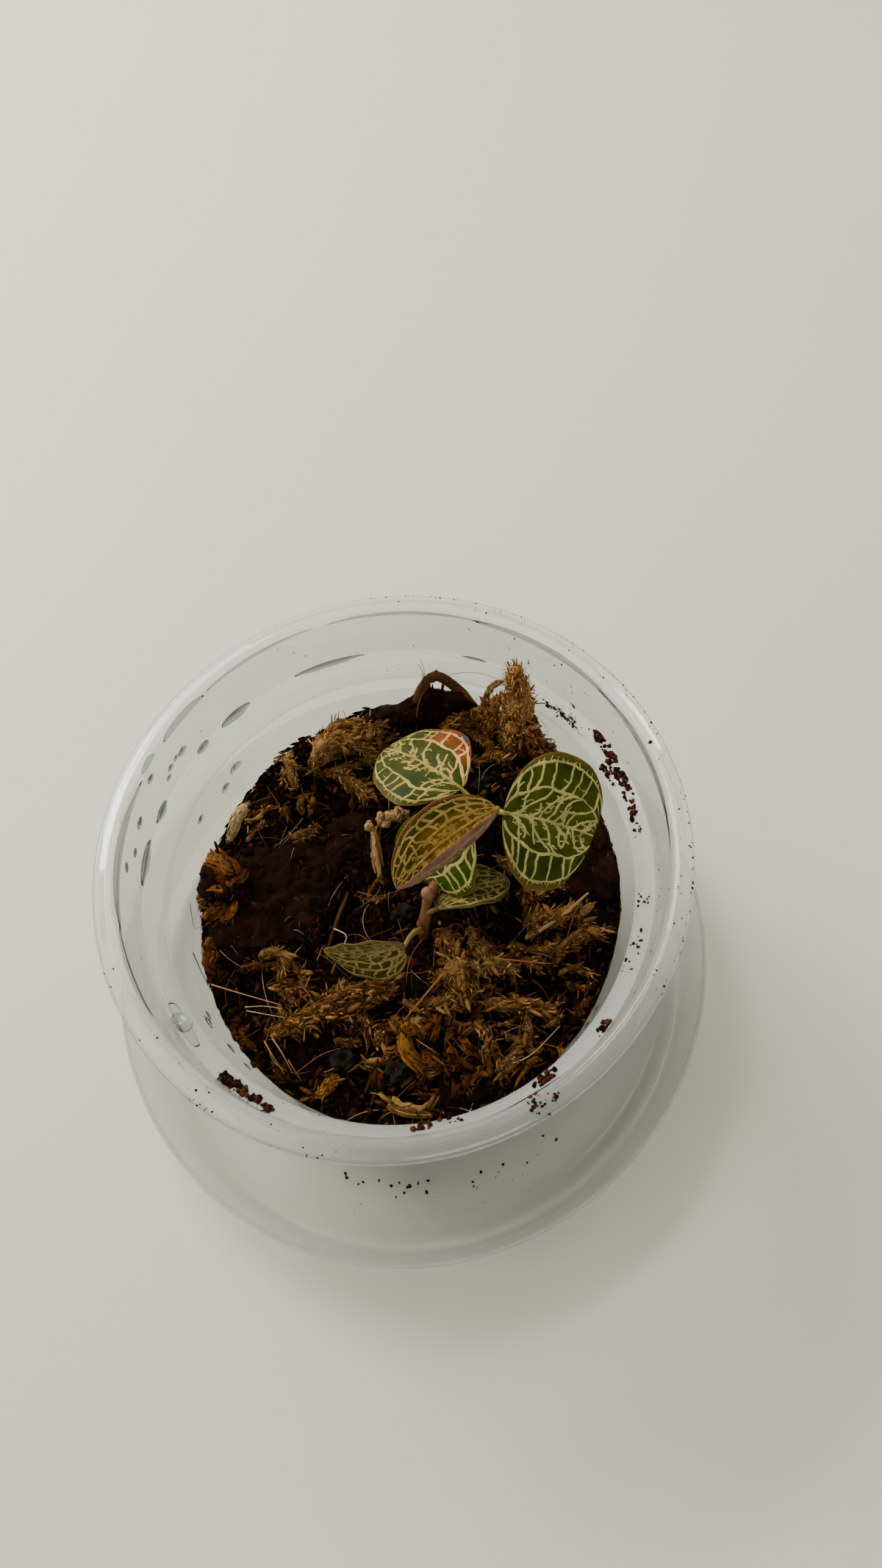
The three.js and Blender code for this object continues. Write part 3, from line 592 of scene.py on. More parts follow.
def blade_point(leaf, share, reach):
    """Middle of the blade and its upward normal, at shares of its length and half-width, left positive."""
    share, reach = np.broadcast_arrays(np.asarray(share, float), np.asarray(reach, float))
    fine = np.linspace(0, 1, 201)
    ahead = blade_axes(leaf, fine)[0]
    rib = np.zeros((len(fine), 3))
    rib[1:] = np.cumsum((ahead[1:] + ahead[:-1]) / 2, axis=0) * leaf["length"] / (len(fine) - 1)
    rib += leaf["base"]
    middle = np.stack([np.interp(share, fine, rib[:, k]) for k in range(3)], -1)
    _, left, above = blade_axes(leaf, share)
    on_left = reach >= 0
    side = np.where(on_left, 1.0, -1.0)
    width = np.maximum(np.where(on_left, leaf["left"], leaf["right"]) * outline(share, leaf), 0.4)
    start, end = (np.radians(np.where(on_left, leaf["left_fold"][i], leaf["right_fold"][i])) for i in (0, 1))
    turn = np.where(np.abs(end - start) < 1e-6, 1e-6, end - start)
    far = np.abs(reach)
    slope = start + turn * far
    out = (np.sin(slope) - np.sin(start)) / turn * width
    rise = (np.cos(start) - np.cos(slope)) / turn * width
    wave = 0.2 * far**2 * np.sin(6 * share * np.pi + side)
    normal = above * np.cos(slope)[..., None] - left * (side * np.sin(slope))[..., None]
    point = middle + left * (side * out)[..., None] + above * rise[..., None] + normal * wave[..., None]
    return point, normal


def thickness_at(reach):
    return BLADE_THICKNESS * (1 - 0.55 * np.abs(reach) ** 8)


def blade_shape(leaf, tint):
    """The closed blade, a little quilted, with its upper and lower tints."""
    stations, columns = 62, 37
    share = (1 - np.cos(np.linspace(0, np.pi, stations))) / 2
    reach = np.sin(np.linspace(-np.pi / 2, np.pi / 2, columns))
    share, reach = np.meshgrid(share, reach, indexing="ij")
    point, normal = blade_point(leaf, share, reach)
    half = (thickness_at(reach) / 2)[..., None]
    quilt = 0.05 * noise(share * leaf["length"] / 1.6, leaf["left"] * reach / 1.6, 5)[..., None]
    quilt = quilt * (1 - np.abs(reach) ** 4)[..., None]
    top = (point + normal * (half + quilt)).reshape(-1, 3)
    bottom = (point - normal * (half - quilt)).reshape(-1, 3)
    count = stations * columns
    faces = grid_faces(stations, columns, flip=True)
    faces += [tuple(i + count for i in face) for face in grid_faces(stations, columns)]
    edge = [(i, 0) for i in range(stations)]
    edge += [(stations - 1, j) for j in range(1, columns)]
    edge += [(i, columns - 1) for i in range(stations - 2, -1, -1)]
    edge += [(0, j) for j in range(columns - 2, 0, -1)]
    index = [i * columns + j for i, j in edge]
    for a, b in zip(index, index[1:] + index[:1]):
        faces.append((a + count, b + count, b, a))
    upper, lower = tint(share, reach)
    shape = Shape()
    shape.add(np.vstack([top, bottom]), faces, np.vstack([upper.reshape(-1, 3), lower.reshape(-1, 3)]))
    return shape


def vein_lines(leaf, look, rng):
    """Lines of the net as (shares, reaches, width at start, width at end)."""
    lines = []
    span, rung, twig, arcs = leaf["length"], look["rung"], look["twig"], look["arcs"]

    def line(start, end, sway, first, last, count=9):
        """A line between two points on the blade, bowed to one side by sway in mm."""
        t = np.linspace(0, 1, count)
        half = leaf["left"] if end[1] + start[1] > 0 else leaf["right"]
        along, out = (end[0] - start[0]) * span, (end[1] - start[1]) * half
        length = max(math.hypot(along, out), 1e-6)
        bow = np.sin(np.pi * t) * rng.uniform(-1, 1) + np.sin(2 * np.pi * t) * rng.uniform(-0.5, 0.5)
        bow = sway * bow / length
        share = start[0] + (along * t - out * bow) / span
        reach = start[1] + (out * t + along * bow) / half
        lines.append((share, reach, first, last))
        return share, reach

    def rungs(side, half, inner, outer):
        """Bars between two arcs, some with a short branch."""
        place = rng.uniform(1.4, 2.4)
        while place < span - 1.6:
            share = place / span
            lean = rng.uniform(0.0, 1.5) / span
            bar = line((share, side * inner), (share + lean, side * outer), 0.5, 0.62, 0.5)
            if rng.random() < 0.4 and outer - inner > 0.25:
                at = rng.integers(3, 6)
                start = (bar[0][at], bar[1][at])
                shift = rng.choice([-1, 1]) * rng.uniform(0.3, 0.5) * rung
                end = (start[0] + shift / span, start[1] + rng.normal(0, 0.3) / half)
                line(start, end, 0.3, 0.4, 0.16, 6)
            place += rung * rng.uniform(0.6, 1.35)

    def ticks(side):
        """Short lines that run out into the margin."""
        place = rng.uniform(0.9, 1.6)
        while place < span - 1.0:
            share = place / span
            far = min(arcs[-1] + rng.uniform(0.03, 0.10), 0.97)
            end = (share + rng.uniform(-0.2, 0.7) / span, side * far)
            line((share, side * arcs[-1]), end, 0.15, 0.42, 0.14, 5)
            place += rung * rng.uniform(0.25, 0.6)

    def branches(side, half):
        """Branches between the midrib and the first arc, with forked twigs."""
        place = rng.uniform(1.0, 1.8)
        while place < span - 2.0:
            share = place / span
            far = arcs[0] if rng.random() < 0.5 else arcs[0] * rng.uniform(0.45, 0.8)
            lean = (0.4 + 0.5 * rng.random()) * far * half
            main = line((share, 0.0), (min(share + lean / span, 0.97), side * far), 1.3, 0.6, 0.46, 13)
            for _ in range(rng.integers(3, 6)):
                at = rng.integers(2, 9)
                turn = rng.choice([-1, 1])
                long = rng.uniform(0.5, 1.3) * twig
                cosine, sine = cosines(rng.uniform(0.15, 0.9))
                outward = 0.35 + 0.65 * (turn > 0)
                start = (main[0][at], main[1][at])
                end = (start[0] + turn * long * cosine / span, start[1] + side * outward * long * sine / half)
                line(start, end, 0.5, 0.46, 0.2, 6)
            place += twig * rng.uniform(1.0, 1.7)

    midrib = np.linspace(0, 0.985, 64)
    lines.append((midrib, 0 * midrib, 1.05, 0.4))
    for side in (1, -1):
        half = leaf["left"] if side > 0 else leaf["right"]
        for k, arc in enumerate(arcs):
            t = np.linspace(0.01, 0.985, 64)
            wobble = 0.02 * np.sin(t * 17 + rng.uniform(0, 6)) * (k < len(arcs) - 1)
            lines.append((t, side * (arc + wobble), 0.78 if k == 0 else 0.66, 0.42))
        for inner, outer in zip(arcs, arcs[1:]):
            rungs(side, half, inner, outer)
        ticks(side)
        branches(side, half)
    return lines


def net_shape(leaf, lines, tint, underside=False):
    """The vein net as low ridges that lie on the blade."""
    shape = Shape()
    across = np.array([-1, -0.6, 0, 0.6, 1])
    lift = np.array([-0.04, 0.6, 1.0, 0.6, -0.04]) * VEIN_LIFT
    sign = -1 if underside else 1
    for share, reach, start_width, end_width in lines:
        count = max(len(share), 10)
        want = np.linspace(0, 1, count)
        share = np.interp(want, np.linspace(0, 1, len(share)), share)
        reach = np.interp(want, np.linspace(0, 1, len(reach)), reach)
        half = np.where(reach > 0, leaf["left"], leaf["right"])
        x, y = share * leaf["length"], reach * half
        crook, crook_out = (
            0.16 * noise(x / 0.8, y / 0.8, seed) + 0.16 * noise(x / 2.1, y / 2.1, seed + 4)
            for seed in (3, 13)
        )
        share = np.clip(share + crook / leaf["length"], 0.001, 0.99)
        reach = np.clip(reach + crook_out / half * np.minimum(1, np.abs(reach) * 6), -0.985, 0.985)
        point, normal = blade_point(leaf, share, reach)
        width = start_width + (end_width - start_width) * want
        if not underside:
            width = width * np.clip(outline(share, leaf) * (leaf["left"] + leaf["right"]) / 12, 0.4, 1)
        width = width * (0.95 + 0.4 * noise(x / 0.7, y / 0.7, 23))
        sideways = unit(np.cross(normal, unit(np.gradient(point, axis=0))))
        base = point + sign * normal * (thickness_at(reach) / 2)[:, None]
        verts = base[:, None] + sideways[:, None] * (across[None, :, None] * width[:, None, None] / 2)
        # the midrib lies in the groove of the blade, so it is raised more
        raised = np.where(np.abs(reach) < 0.01, 2.6, 1.0)[:, None, None]
        verts = verts + sign * normal[:, None] * lift[None, :, None] * raised
        faces = grid_faces(count, len(across), flip=underside)
        shape.add(verts.reshape(-1, 3), faces, np.repeat(tint(share, reach), len(across), axis=0))
    return shape


def leaf_tints(name, leaf, look, number):
    """Functions for the colours of the blade's two faces and of its veins, at places on the leaf."""

    def blade_tint(share, reach):
        cloud = half_noise(share * leaf["length"] / 3.0, reach * 3.2, number)
        upper = blend(look["deep"], look["light"], 0.75 * cloud + 0.45 * (0.45 - np.abs(reach)))
        rim = np.maximum(np.abs(reach), np.clip((share - 0.86) / 0.14, 0, 1) ** 2)
        upper = blend(upper, look["margin"], (rim - look["arcs"][-1]) / 0.08)
        edge = np.asarray(look["margin"]) * (1.9, 1.5, 1.6)
        upper = blend(upper, edge, (np.abs(reach) - 0.965) / 0.03)
        if name == "leaf_upper_left":
            scorch = np.clip((share - 0.10) / 0.1, 0, 1) * np.clip((0.68 - share) / 0.16, 0, 1)
            scorch = scorch * np.clip((-reach - 0.45 + 0.1 * noise(share * 9, 0, 3)) / 0.2, 0, 1)
            upper = blend(upper, (0.17, 0.038, 0.006), scorch)
            scar = np.exp(-(((share - 0.35) / 0.05) ** 2) - ((reach + 0.95) / 0.09) ** 2)
            upper = blend(upper, (0.060, 0.056, 0.050), scar * 1.6)
        if name == "leaf_centre":
            upper = blend(upper, (0.045, 0.045, 0.002), (share - 0.60 + 0.1 * cloud) / 0.2)
            upper = blend(upper, (0.050, 0.045, 0.002), (-reach - 0.50 + 0.15 * cloud) / 0.2)
            upper = blend(upper, look["margin"], (rim - 0.92) / 0.04)
        return upper, np.asarray(look["under"]) * (0.75 + 0.5 * cloud[..., None])

    def vein_tint(share, reach):
        pale = np.asarray(look["vein"]) * (0.88 + 0.24 * noise(share * 11, reach * 7, 31)[..., None])
        if name == "leaf_upper_left":
            scorched = np.clip((0.7 - share) * 3, 0, 1) * np.clip(-reach * 2, 0, 1)
            pale = blend(pale, (0.62, 0.37, 0.12), scorched)
        return pale

    return blade_tint, vein_tint


def under_vein_tint(share, reach):
    return np.broadcast_to((0.27, 0.155, 0.090), (*np.shape(share), 3))


def add_leaves():
    blade_skin = blade_surface("blade")
    vein_skin = grainy("vein", 700, 0.16, 0.00003, 0.5)
    for number, (name, leaf) in enumerate(LEAVES.items()):
        look = LEAF_LOOKS[name]
        blade_tint, vein_tint = leaf_tints(name, leaf, look, number)
        blade = blade_shape(leaf, blade_tint)
        stalk = smooth_path([*leaf["petiole"], leaf["base"], blade_point(leaf, 0.05, 0.0)[0]], 18)
        stalk_tint = np.asarray(look["vein"]) * 0.40 + np.asarray(look["margin"]) * 0.6
        tube(blade, stalk, np.linspace(0.75, 0.45, 18), stalk_tint, sides=10)
        blade.piece(name + "_blade", blade_skin, "leaf", [name])
        lines = vein_lines(leaf, look, np.random.default_rng(SEED + number))
        net_shape(leaf, lines, vein_tint).piece(name + "_net", vein_skin, "leaf")
        if name == "leaf_centre":
            folded = [line for line in lines if np.mean(line[1]) > 0.02]
            net = net_shape(leaf, folded, under_vein_tint, underside=True)
            net.piece(name + "_under_net", vein_skin, "leaf")


def add_stem():
    """The stem with its swollen joints, and the resting bud."""
    stem = Shape()
    along = np.linspace(0, 1, 90)
    swell = 1 + 0.22 * np.max([np.exp(-(((along - s) / 0.03) ** 2)) for s in STEM_NODES], axis=0)
    tint = blend((0.10, 0.038, 0.012), (0.24, 0.11, 0.04), along + 0.2 * noise(along * 9, 0, 1))
    tube(stem, smooth_path(STEM_PATH, 90), np.linspace(1.15, 0.85, 90) * swell, tint, sides=16)
    bulge = 1.35 * np.sqrt(np.clip(1 - np.linspace(-0.75, 1, 14) ** 2, 0.01, 1))
    tube(stem, smooth_path(BUD_PATH, 14), bulge, (0.28, 0.12, 0.075), sides=16, up=(1, 0, 0))
    stem.piece("stem_fleshy", grainy("petiole", 500, 0.18, 0.00004, 0.45), "stem", ["stem"])


# ---------------------------------------------------------------- growing mix

PEAT_CRUMBS = ((0.9, 2.6, 1), (0.55, 1.2, 4), (0.3, 0.55, 8))  # height, size and seed


def add_peat():
    """The body of the mix: a crumbly top on rings and spokes, then its side and flat underside."""
    rings, spokes, depth = 80, 224, 20
    outermost, gap = 46.4, 0.35
    radius = outermost * np.sqrt(np.linspace(0.0004, 1, rings)) ** 1.15
    angle = np.linspace(0, 2 * np.pi, spokes, endpoint=False)
    x, y = np.outer(radius, np.cos(angle)), np.outer(radius, np.sin(angle))
    squeeze = np.minimum(1, taper_radius(mix_height(x, y), gap) / outermost)
    x, y = x * squeeze, y * squeeze
    crumbs = [height * noise(x / size, y / size, seed) for height, size, seed in PEAT_CRUMBS]
    z = mix_height(x, y) - 0.5 + sum(crumbs)
    verts = [np.stack([x, y, z], -1).reshape(-1, 3)]
    cloud = half_noise(x / 3.4, y / 3.4, 12)
    tints = [blend((0.004, 0.002, 0.001), (0.022, 0.008, 0.003), cloud).reshape(-1, 3)]
    for k in range(1, depth + 1):
        level = z[-1] + (MIX["bottom"] - z[-1]) * k / depth
        rounding = 0.9 if k == depth else 0
        ragged = 0.25 * half_noise(angle * 14, level / 2.2, 6)
        out = taper_radius(np.maximum(level, TAPER["foot"]), gap) - ragged - rounding
        verts.append(polar(out, angle, level))
        shade = half_noise(angle * 9, level / 3, 21)
        tints.append(blend((0.006, 0.003, 0.0015), (0.040, 0.016, 0.006), shade))
    verts.append(np.array([[0, 0, MIX["bottom"]]]))
    tints.append(np.array([[0.01, 0.006, 0.004]]))
    faces = grid_faces(rings + depth, spokes, wrap=True)
    last, bottom = (rings + depth - 1) * spokes, (rings + depth) * spokes
    faces += [(last + (j + 1) % spokes, bottom, last + j) for j in range(spokes)]
    faces.append(tuple(range(spokes))[::-1])
    shape = Shape()
    shape.add(np.vstack(verts), faces, np.vstack(tints))
    shape.piece("mix_peat", grainy("peat", 900, 0.5, 0.0004, 0.9), "growing_mix", ["mix"])


# ---------------------------------------------------------------- pieces in the mix

MOSS_TINTS = np.array([
    (0.34, 0.15, 0.036), (0.22, 0.085, 0.018), (0.46, 0.24, 0.075), (0.11, 0.038, 0.008), (0.29, 0.14, 0.040),
    (0.40, 0.20, 0.055),
])
GOLD_TINTS = np.array([(0.25, 0.100, 0.016), (0.18, 0.060, 0.010), (0.31, 0.16, 0.048), (0.13, 0.040, 0.007)])
PEAT_TINTS = np.array([
    (0.006, 0.002, 0.001), (0.018, 0.006, 0.002), (0.045, 0.012, 0.004), (0.004, 0.002, 0.001),
])
HUSK_TINTS = np.array([(0.004, 0.0014, 0.0006), (0.011, 0.0032, 0.0012), (0.024, 0.0065, 0.0022)])
RUST_TINTS = np.array([(0.16, 0.050, 0.007), (0.24, 0.080, 0.012), (0.09, 0.024, 0.004), (0.31, 0.15, 0.040)])
STONE_TINTS = np.array([(0.004, 0.0035, 0.002), (0.018, 0.0165, 0.009)])
RED_TINTS = np.array([(0.30, 0.045, 0.012), (0.20, 0.03, 0.01)])
CRUMB_TINTS = np.array([
    (0.030, 0.007, 0.003), (0.075, 0.017, 0.006), (0.012, 0.004, 0.002), (0.10, 0.030, 0.010),
])

# Each clump of moss: its path on the mix, half-width and height above the mix; then the single ropes of moss
# that show plainly on it: their path, height above the mix and radius.
CLUMPS = dict(
    moss_front=([(-31, -10), (-26.5, -16), (-16.5, -20), (-7, -21), (4, -26)], 4.2, 2.6, [
        ([(-34.3, -19.4), (-28.3, -19.4), (-21.4, -17.5), (-14.3, -15.9), (-6.1, -17.5)], 2.2, 2.2),
        ([(-30.6, -9.5), (-25.1, -14.4), (-24.1, -17.3)], 2.0, 1.8),
        ([(-26.0, -19.0), (-18.0, -20.0), (-11.0, -17.5)], 3.0, 1.8),
        ([(-14.0, -18.6), (-13.3, -24.0)], 2.6, 1.2),
    ]),
    moss_left=([(-28.5, -9), (-36, -3)], 3.4, 2.2, [
        ([(-33.7, -4.0), (-30.4, -3.8), (-27.9, -6.1), (-30.1, -9.6)], 2.6, 1.4),
        ([(-26.5, -7.8), (-24.4, -10.6)], 2.0, 1.1),
    ]),
    moss_centre=([(7, -8), (12.5, -16), (21, -27)], 5.4, 3.2, [
        ([(6.9, -16.0), (7.5, -19.5), (8.1, -23.4)], 3.6, 3.2),
        ([(4.6, -7.7), (7.4, -13.6), (9.4, -20.1)], 3.0, 2.4),
        ([(13.4, -12.4), (13.9, -17.9)], 3.2, 2.6),
        ([(-1.0, -22.0), (4.0, -23.5), (9.0, -22.5)], 2.4, 1.8),
        ([(9.0, -27.6), (10.2, -31.0), (12.1, -37.1)], 1.8, 1.3),
        ([(11.0, -24.6), (15.9, -26.8), (20.6, -27.7), (25.1, -29.9)], 2.4, 1.5),
        ([(19.2, -28.3), (19.2, -32.1), (18.3, -35.6)], 1.8, 1.1),
    ]),
    moss_right=([(25, -10), (38.5, -12)], 4.2, 2.8, [
        ([(27.3, -20.8), (33.0, -17.6), (39.6, -17.1)], 1.4, 1.3),
        ([(34.1, -13.6), (39.1, -18.0)], 2.2, 1.5),
        ([(24.0, -11.0), (30.0, -12.4), (35.0, -11.0)], 2.8, 2.0),
    ]),
    moss_middle=([(17.5, 5), (26.5, -7)], 4.6, 3.0, []),
    moss_back_left=([(-14, 38), (-2.5, 40), (8, 37.5)], 4.4, 4.6, [
        ([(-14.0, 38.0), (-8.0, 41.6), (2.0, 41.0)], 4.0, 2.8),
        ([(-16.0, 36.0), (-9.0, 38.6), (-1.5, 37.6)], 4.2, 2.6),
        ([(-10.3, 32.5), (-2.9, 26.6)], 0.8, 1.8),
    ]),
    moss_small_left=([(-22.5, 39), (-18.5, 30)], 3.2, 2.6, [
        ([(-22.2, 40.0), (-20.6, 37.6), (-20.3, 32.3)], 2.6, 1.4),
    ]),
    moss_back_right=([(17, 39), (29, 31.5), (39, 20)], 4.8, 4.8, [
        ([(15.5, 36.6), (20.5, 36.6), (25.4, 35.4)], 5.0, 1.8),
        ([(30.5, 31.0), (34.6, 27.0), (37.6, 21.6)], 4.6, 2.6),
        ([(31.5, 30.0), (34.4, 27.4), (36.4, 24.4)], 8.0, 2.2),
        ([(18.5, 38.4), (24.0, 36.6), (29.6, 32.6)], 6.2, 1.6),
        ([(30.0, 27.0), (33.0, 31.5)], 6.4, 3.0),
    ]),
)
PLUME = [(32.0, 27.8, 46), (33.0, 30.8, 54), (33.2, 33.8, 61), (32.6, 36.8, 68.2)]
PLUME_SIDES = (  # lower tufts that lean on the plume: path and radius
    ([(25.0, 32.6, 45), (26.6, 34.4, 51), (28.6, 36.2, 57.5)], 2.2),
    ([(28.8, 29.6, 46), (29.8, 32.0, 53), (30.6, 34.8, 61)], 2.0),
    ([(35.4, 27.4, 46), (36.0, 30.0, 51), (36.2, 32.2, 56.5)], 2.2),
)
PLUME_FEET = (((2.2, -1.0, -6), 2.4), ((-2.6, 0.2, -8), 2.6), ((0.6, 1.4, -4), 1.6))  # offset and radius
MOSS_ROPE_BACK = [(16.6, 40.4, 1.6), (19.6, 36.2, 2.8), (24.6, 30.9, 2.6), (28.6, 25.8, -0.8)]
# Thinner moss between the clumps: path, half-width and ropes in it.
SPRINKLES = [
    ([(-4, -22), (8, -20), (20, -22), (30, -20)], 6.0, 12), ([(2, -26), (14, -30), (24, -27)], 4.0, 8),
    ([(-30, -20), (-16, -24), (-4, -24)], 3.5, 5), ([(10, -20), (22, -18), (33, -22)], 5.0, 13),
    ([(-20, -24), (-4, -29)], 3.5, 4), ([(24, 2), (36, -6)], 3.5, 5),
    ([(-31, 27), (-22, 26), (-16, 30)], 3.6, 6), ([(10, 30), (20, 24), (28, 18)], 4.0, 8),
    ([(22, -30), (32, -28)], 4.0, 5), ([(-12, -2), (-8, 6)], 3.0, 2),
    ([(-28.6, 20.4), (-23.1, 21.1), (-17.6, 21.8)], 2.0, 4), ([(2, -12), (8, -24)], 4.0, 6),
    ([(-12.3, 36.0), (-7.1, 33.7), (-4.1, 28.2)], 3.0, 7),
]


def scales(shape, roots, ahead, up, length, width, tints, dip=0.25):
    """Many small pointed leaflets, each a closed flat spindle that bends down along its length."""
    roots, ahead = np.asarray(roots, float), unit(ahead)
    side = unit(np.cross(ahead, up))
    rise = np.cross(side, ahead)
    stations = np.array([0.0, 0.3, 0.74, 1.0])
    girth = np.array([0.95, 0.8])  # at the two inner stations
    middle = roots[:, None] + ahead[:, None] * (stations[None, :, None] * length[:, None, None])
    middle = middle - rise[:, None] * (dip * stations**2)[None, :, None] * length[:, None, None]
    corners = np.array([(1, -0.4), (0, 1), (-1, -0.4)])
    thick = 0.28
    ring = side[:, None, None] * corners[None, None, :, 0, None]
    ring = ring + rise[:, None, None] * thick * corners[None, None, :, 1, None]
    ring = middle[:, 1:3, None] + ring * (girth[None, :, None, None] * width[:, None, None, None] / 2)
    verts = np.concatenate([middle[:, :1], ring.reshape(len(roots), 6, 3), middle[:, 3:]], axis=1)
    one = [(0, 2, 1), (0, 3, 2), (0, 1, 3)]
    one += [(1 + j, 1 + (j + 1) % 3, 4 + (j + 1) % 3, 4 + j) for j in range(3)]
    one += [(7, 4 + j, 4 + (j + 1) % 3) for j in range(3)]
    faces = [tuple(8 * n + i for i in face) for n in range(len(roots)) for face in one]
    fade = np.array([0.7] + [0.9] * 3 + [1.1] * 3 + [1.2])
    tints = (tints[:, None] * fade[None, :, None]).reshape(-1, 3)
    shape.add(points_inside_wall(verts.reshape(-1, 3)), faces, tints)


def rope(shape, rng, path, radius, palette, size=1.0, density=6.0, flare=0.45):
    """A strand of dried moss, a matted core under overlapping leaflets; two radii make it taper."""
    length = path_length(path)
    mean = float(np.mean(radius))
    steps = 14 if mean < 1.0 else 20 if mean < 1.6 else 28
    line = smooth_path(path, steps)
    t = np.linspace(0, 1, steps)
    taper = np.linspace(*np.broadcast_to(radius, 2), steps) * np.sqrt(np.clip(1.02 - (2 * t - 1) ** 4, 0, 1))
    taper = taper * (1 + 0.3 * noise(t * length / 2.4, rng.uniform(0, 99), 3))
    main = palette[rng.integers(len(palette))]
    strands = 1 if mean < 1.3 else 4 if mean < 2.4 else 7  # a wide rope is a bundle
    for k in range(strands):
        if strands == 1:
            lane, spread, thick = rng.normal(0, 1, 3), 0, 0.7
        else:
            lane = np.array([np.cos(2.4 * k), 0.6 * np.sin(2.4 * k), np.sin(2.4 * k)])
            spread, thick = 0.42, 0.44
        sway = lane * spread * taper[:, None]
        sway = sway + 0.12 * mean * noise(t * length / 1.5 + 9 * k, k, 5)[:, None] * lane
        core = main * (0.5 + 0.35 * noise(t * length / 0.7, rng.uniform(0, 99), 5))[:, None]
        girth = taper * thick * (1 + 0.3 * noise(t * length / 0.8, 7 * k, rng.uniform(0, 99)))
        tube(shape, points_inside_wall(line + sway), girth, core, 6, up=rng.normal(0, 0.3, 3) + (0, 0, 1))
    count = max(int(density * length * mean**1.15 / size**1.5), 8)
    at = rng.uniform(0, steps - 1, count)
    index = np.minimum(at.astype(int), steps - 2)
    part = (at - index)[:, None]
    centre = line[index] * (1 - part) + line[index + 1] * part
    along = unit(np.gradient(line, axis=0))[index]
    spin = rng.uniform(0, 2 * np.pi, count)
    side = unit(np.cross(along, rng.normal(0, 0.2, (count, 3)) + (0, 0, 1)))
    rise = np.cross(side, along)
    out = side * np.cos(spin)[:, None] + rise * np.sin(spin)[:, None]
    reach = taper[index] * rng.uniform(0.62, 0.95, count)
    loose = (rng.random((count, 1)) < 0.15) * rng.uniform(0.3, 1.0, (count, 1))
    ahead = along * rng.uniform(0.3, 1.2, (count, 1)) + out * (rng.uniform(-0.1, flare, (count, 1)) + loose)
    ahead = ahead + rng.normal(0, 0.4, (count, 3))
    long = size * (0.6 + 1.9 * rng.random(count) ** 1.7) * min(1.25, 0.75 + 0.25 * mean)
    girth = size * rng.uniform(0.22, 0.62, count)
    up = out + rng.normal(0, 0.4, (count, 3))
    hue = main * 0.5 + pick(rng, palette, count) * 0.5
    clump = 0.35 * noise(*(centre / 1.6).T)
    # Painted light: leaflets that face up are made lighter and those that face down darker, as if lit from
    # above; the clump noise and the random term are the moss's own uneven tone.
    shade = 0.55 + 0.35 * np.clip(out[:, 2], -0.5, 1) + clump + 0.7 * rng.random(count) ** 2
    tints = hue * np.maximum(shade, 0.1)[:, None]
    scales(shape, centre + out * reach[:, None], ahead, up, long, girth, tints)


def patch(shape, rng, path, width, height, count, palette, size=1.0):
    """Short ropes of moss heaped along a path."""
    steps = 40
    line = smooth_path([(x, y, 0) for x, y in path], steps)
    forward = unit(np.gradient(line, axis=0))
    for _ in range(count):
        k = rng.integers(steps)
        across = np.array([-forward[k][1], forward[k][0]])
        far = np.clip(rng.normal(0, 0.5), -1.1, 1.1)
        x, y = line[k][:2] + across * far * width
        turn = math.atan2(forward[k][1], forward[k][0]) + rng.normal(0, 0.7)
        long = rng.uniform(3.0, 8.0) * size
        bend = rng.normal(0, 0.5)
        lift = height * math.exp(-((1.2 * far) ** 2)) * rng.uniform(0.2, 0.95)
        points = []
        for step in (-0.5, -0.17, 0.17, 0.5):
            cosine, sine = cosines(turn + bend * step)
            px, py = x + long * step * cosine, y + long * step * sine
            pz = float(mix_height(px, py)) + lift * (1.1 - 1.2 * step**2) + rng.normal(0, 0.25)
            points.append((px, py, pz))
        rope(shape, rng, points, rng.uniform(0.6, 1.6) * size, palette)


def flakes(shape, rng, line, radius, tints):
    """Larger flat flakes that stand out of a rope of moss."""
    count = int(19 * radius)
    path = smooth_path(line, 40)
    index = rng.integers(1, 39, count)
    out = unit(rng.normal(size=(count, 3)) + (0, -0.3, 0.8))
    ahead = unit(np.gradient(path, axis=0))[index] * rng.choice([-1, 1], (count, 1))
    ahead = ahead + rng.normal(0, 0.45, (count, 3))
    long = rng.uniform(1.6, 4.6, count)
    wide = long * rng.uniform(0.16, 0.42, count)
    shade = tints[rng.choice([0, 1, 2, 4, 5], count)] * rng.uniform(0.4, 0.95, (count, 1))
    scales(shape, path[index] + out * radius * 0.75, ahead, out, long, wide, shade)


def add_plume(shape, rng, tints):
    """The upright plume of moss at the far side, the tufts that lean on it and the moss at its foot."""
    foot = (31.6, 26.4, float(mix_height(32, 28)))
    rope(shape, rng, [foot, *PLUME], (4.0, 2.8), tints[[2, 0, 5]] * 1.3, density=10, flare=0.2)
    flakes(shape, rng, PLUME, 2.8, tints * 1.2)
    for line, radius in PLUME_SIDES:
        rope(shape, rng, line, (radius, radius * 0.55), tints[[2, 0, 4]] * 1.2, density=7, flare=0.4)
        flakes(shape, rng, line, radius, tints * 1.2)
    for offset, radius in PLUME_FEET:
        line = np.asarray(PLUME[:3]) + offset
        rope(shape, rng, line, (radius, radius * 0.6), tints[[2, 0, 4]], density=8, flare=0.2)


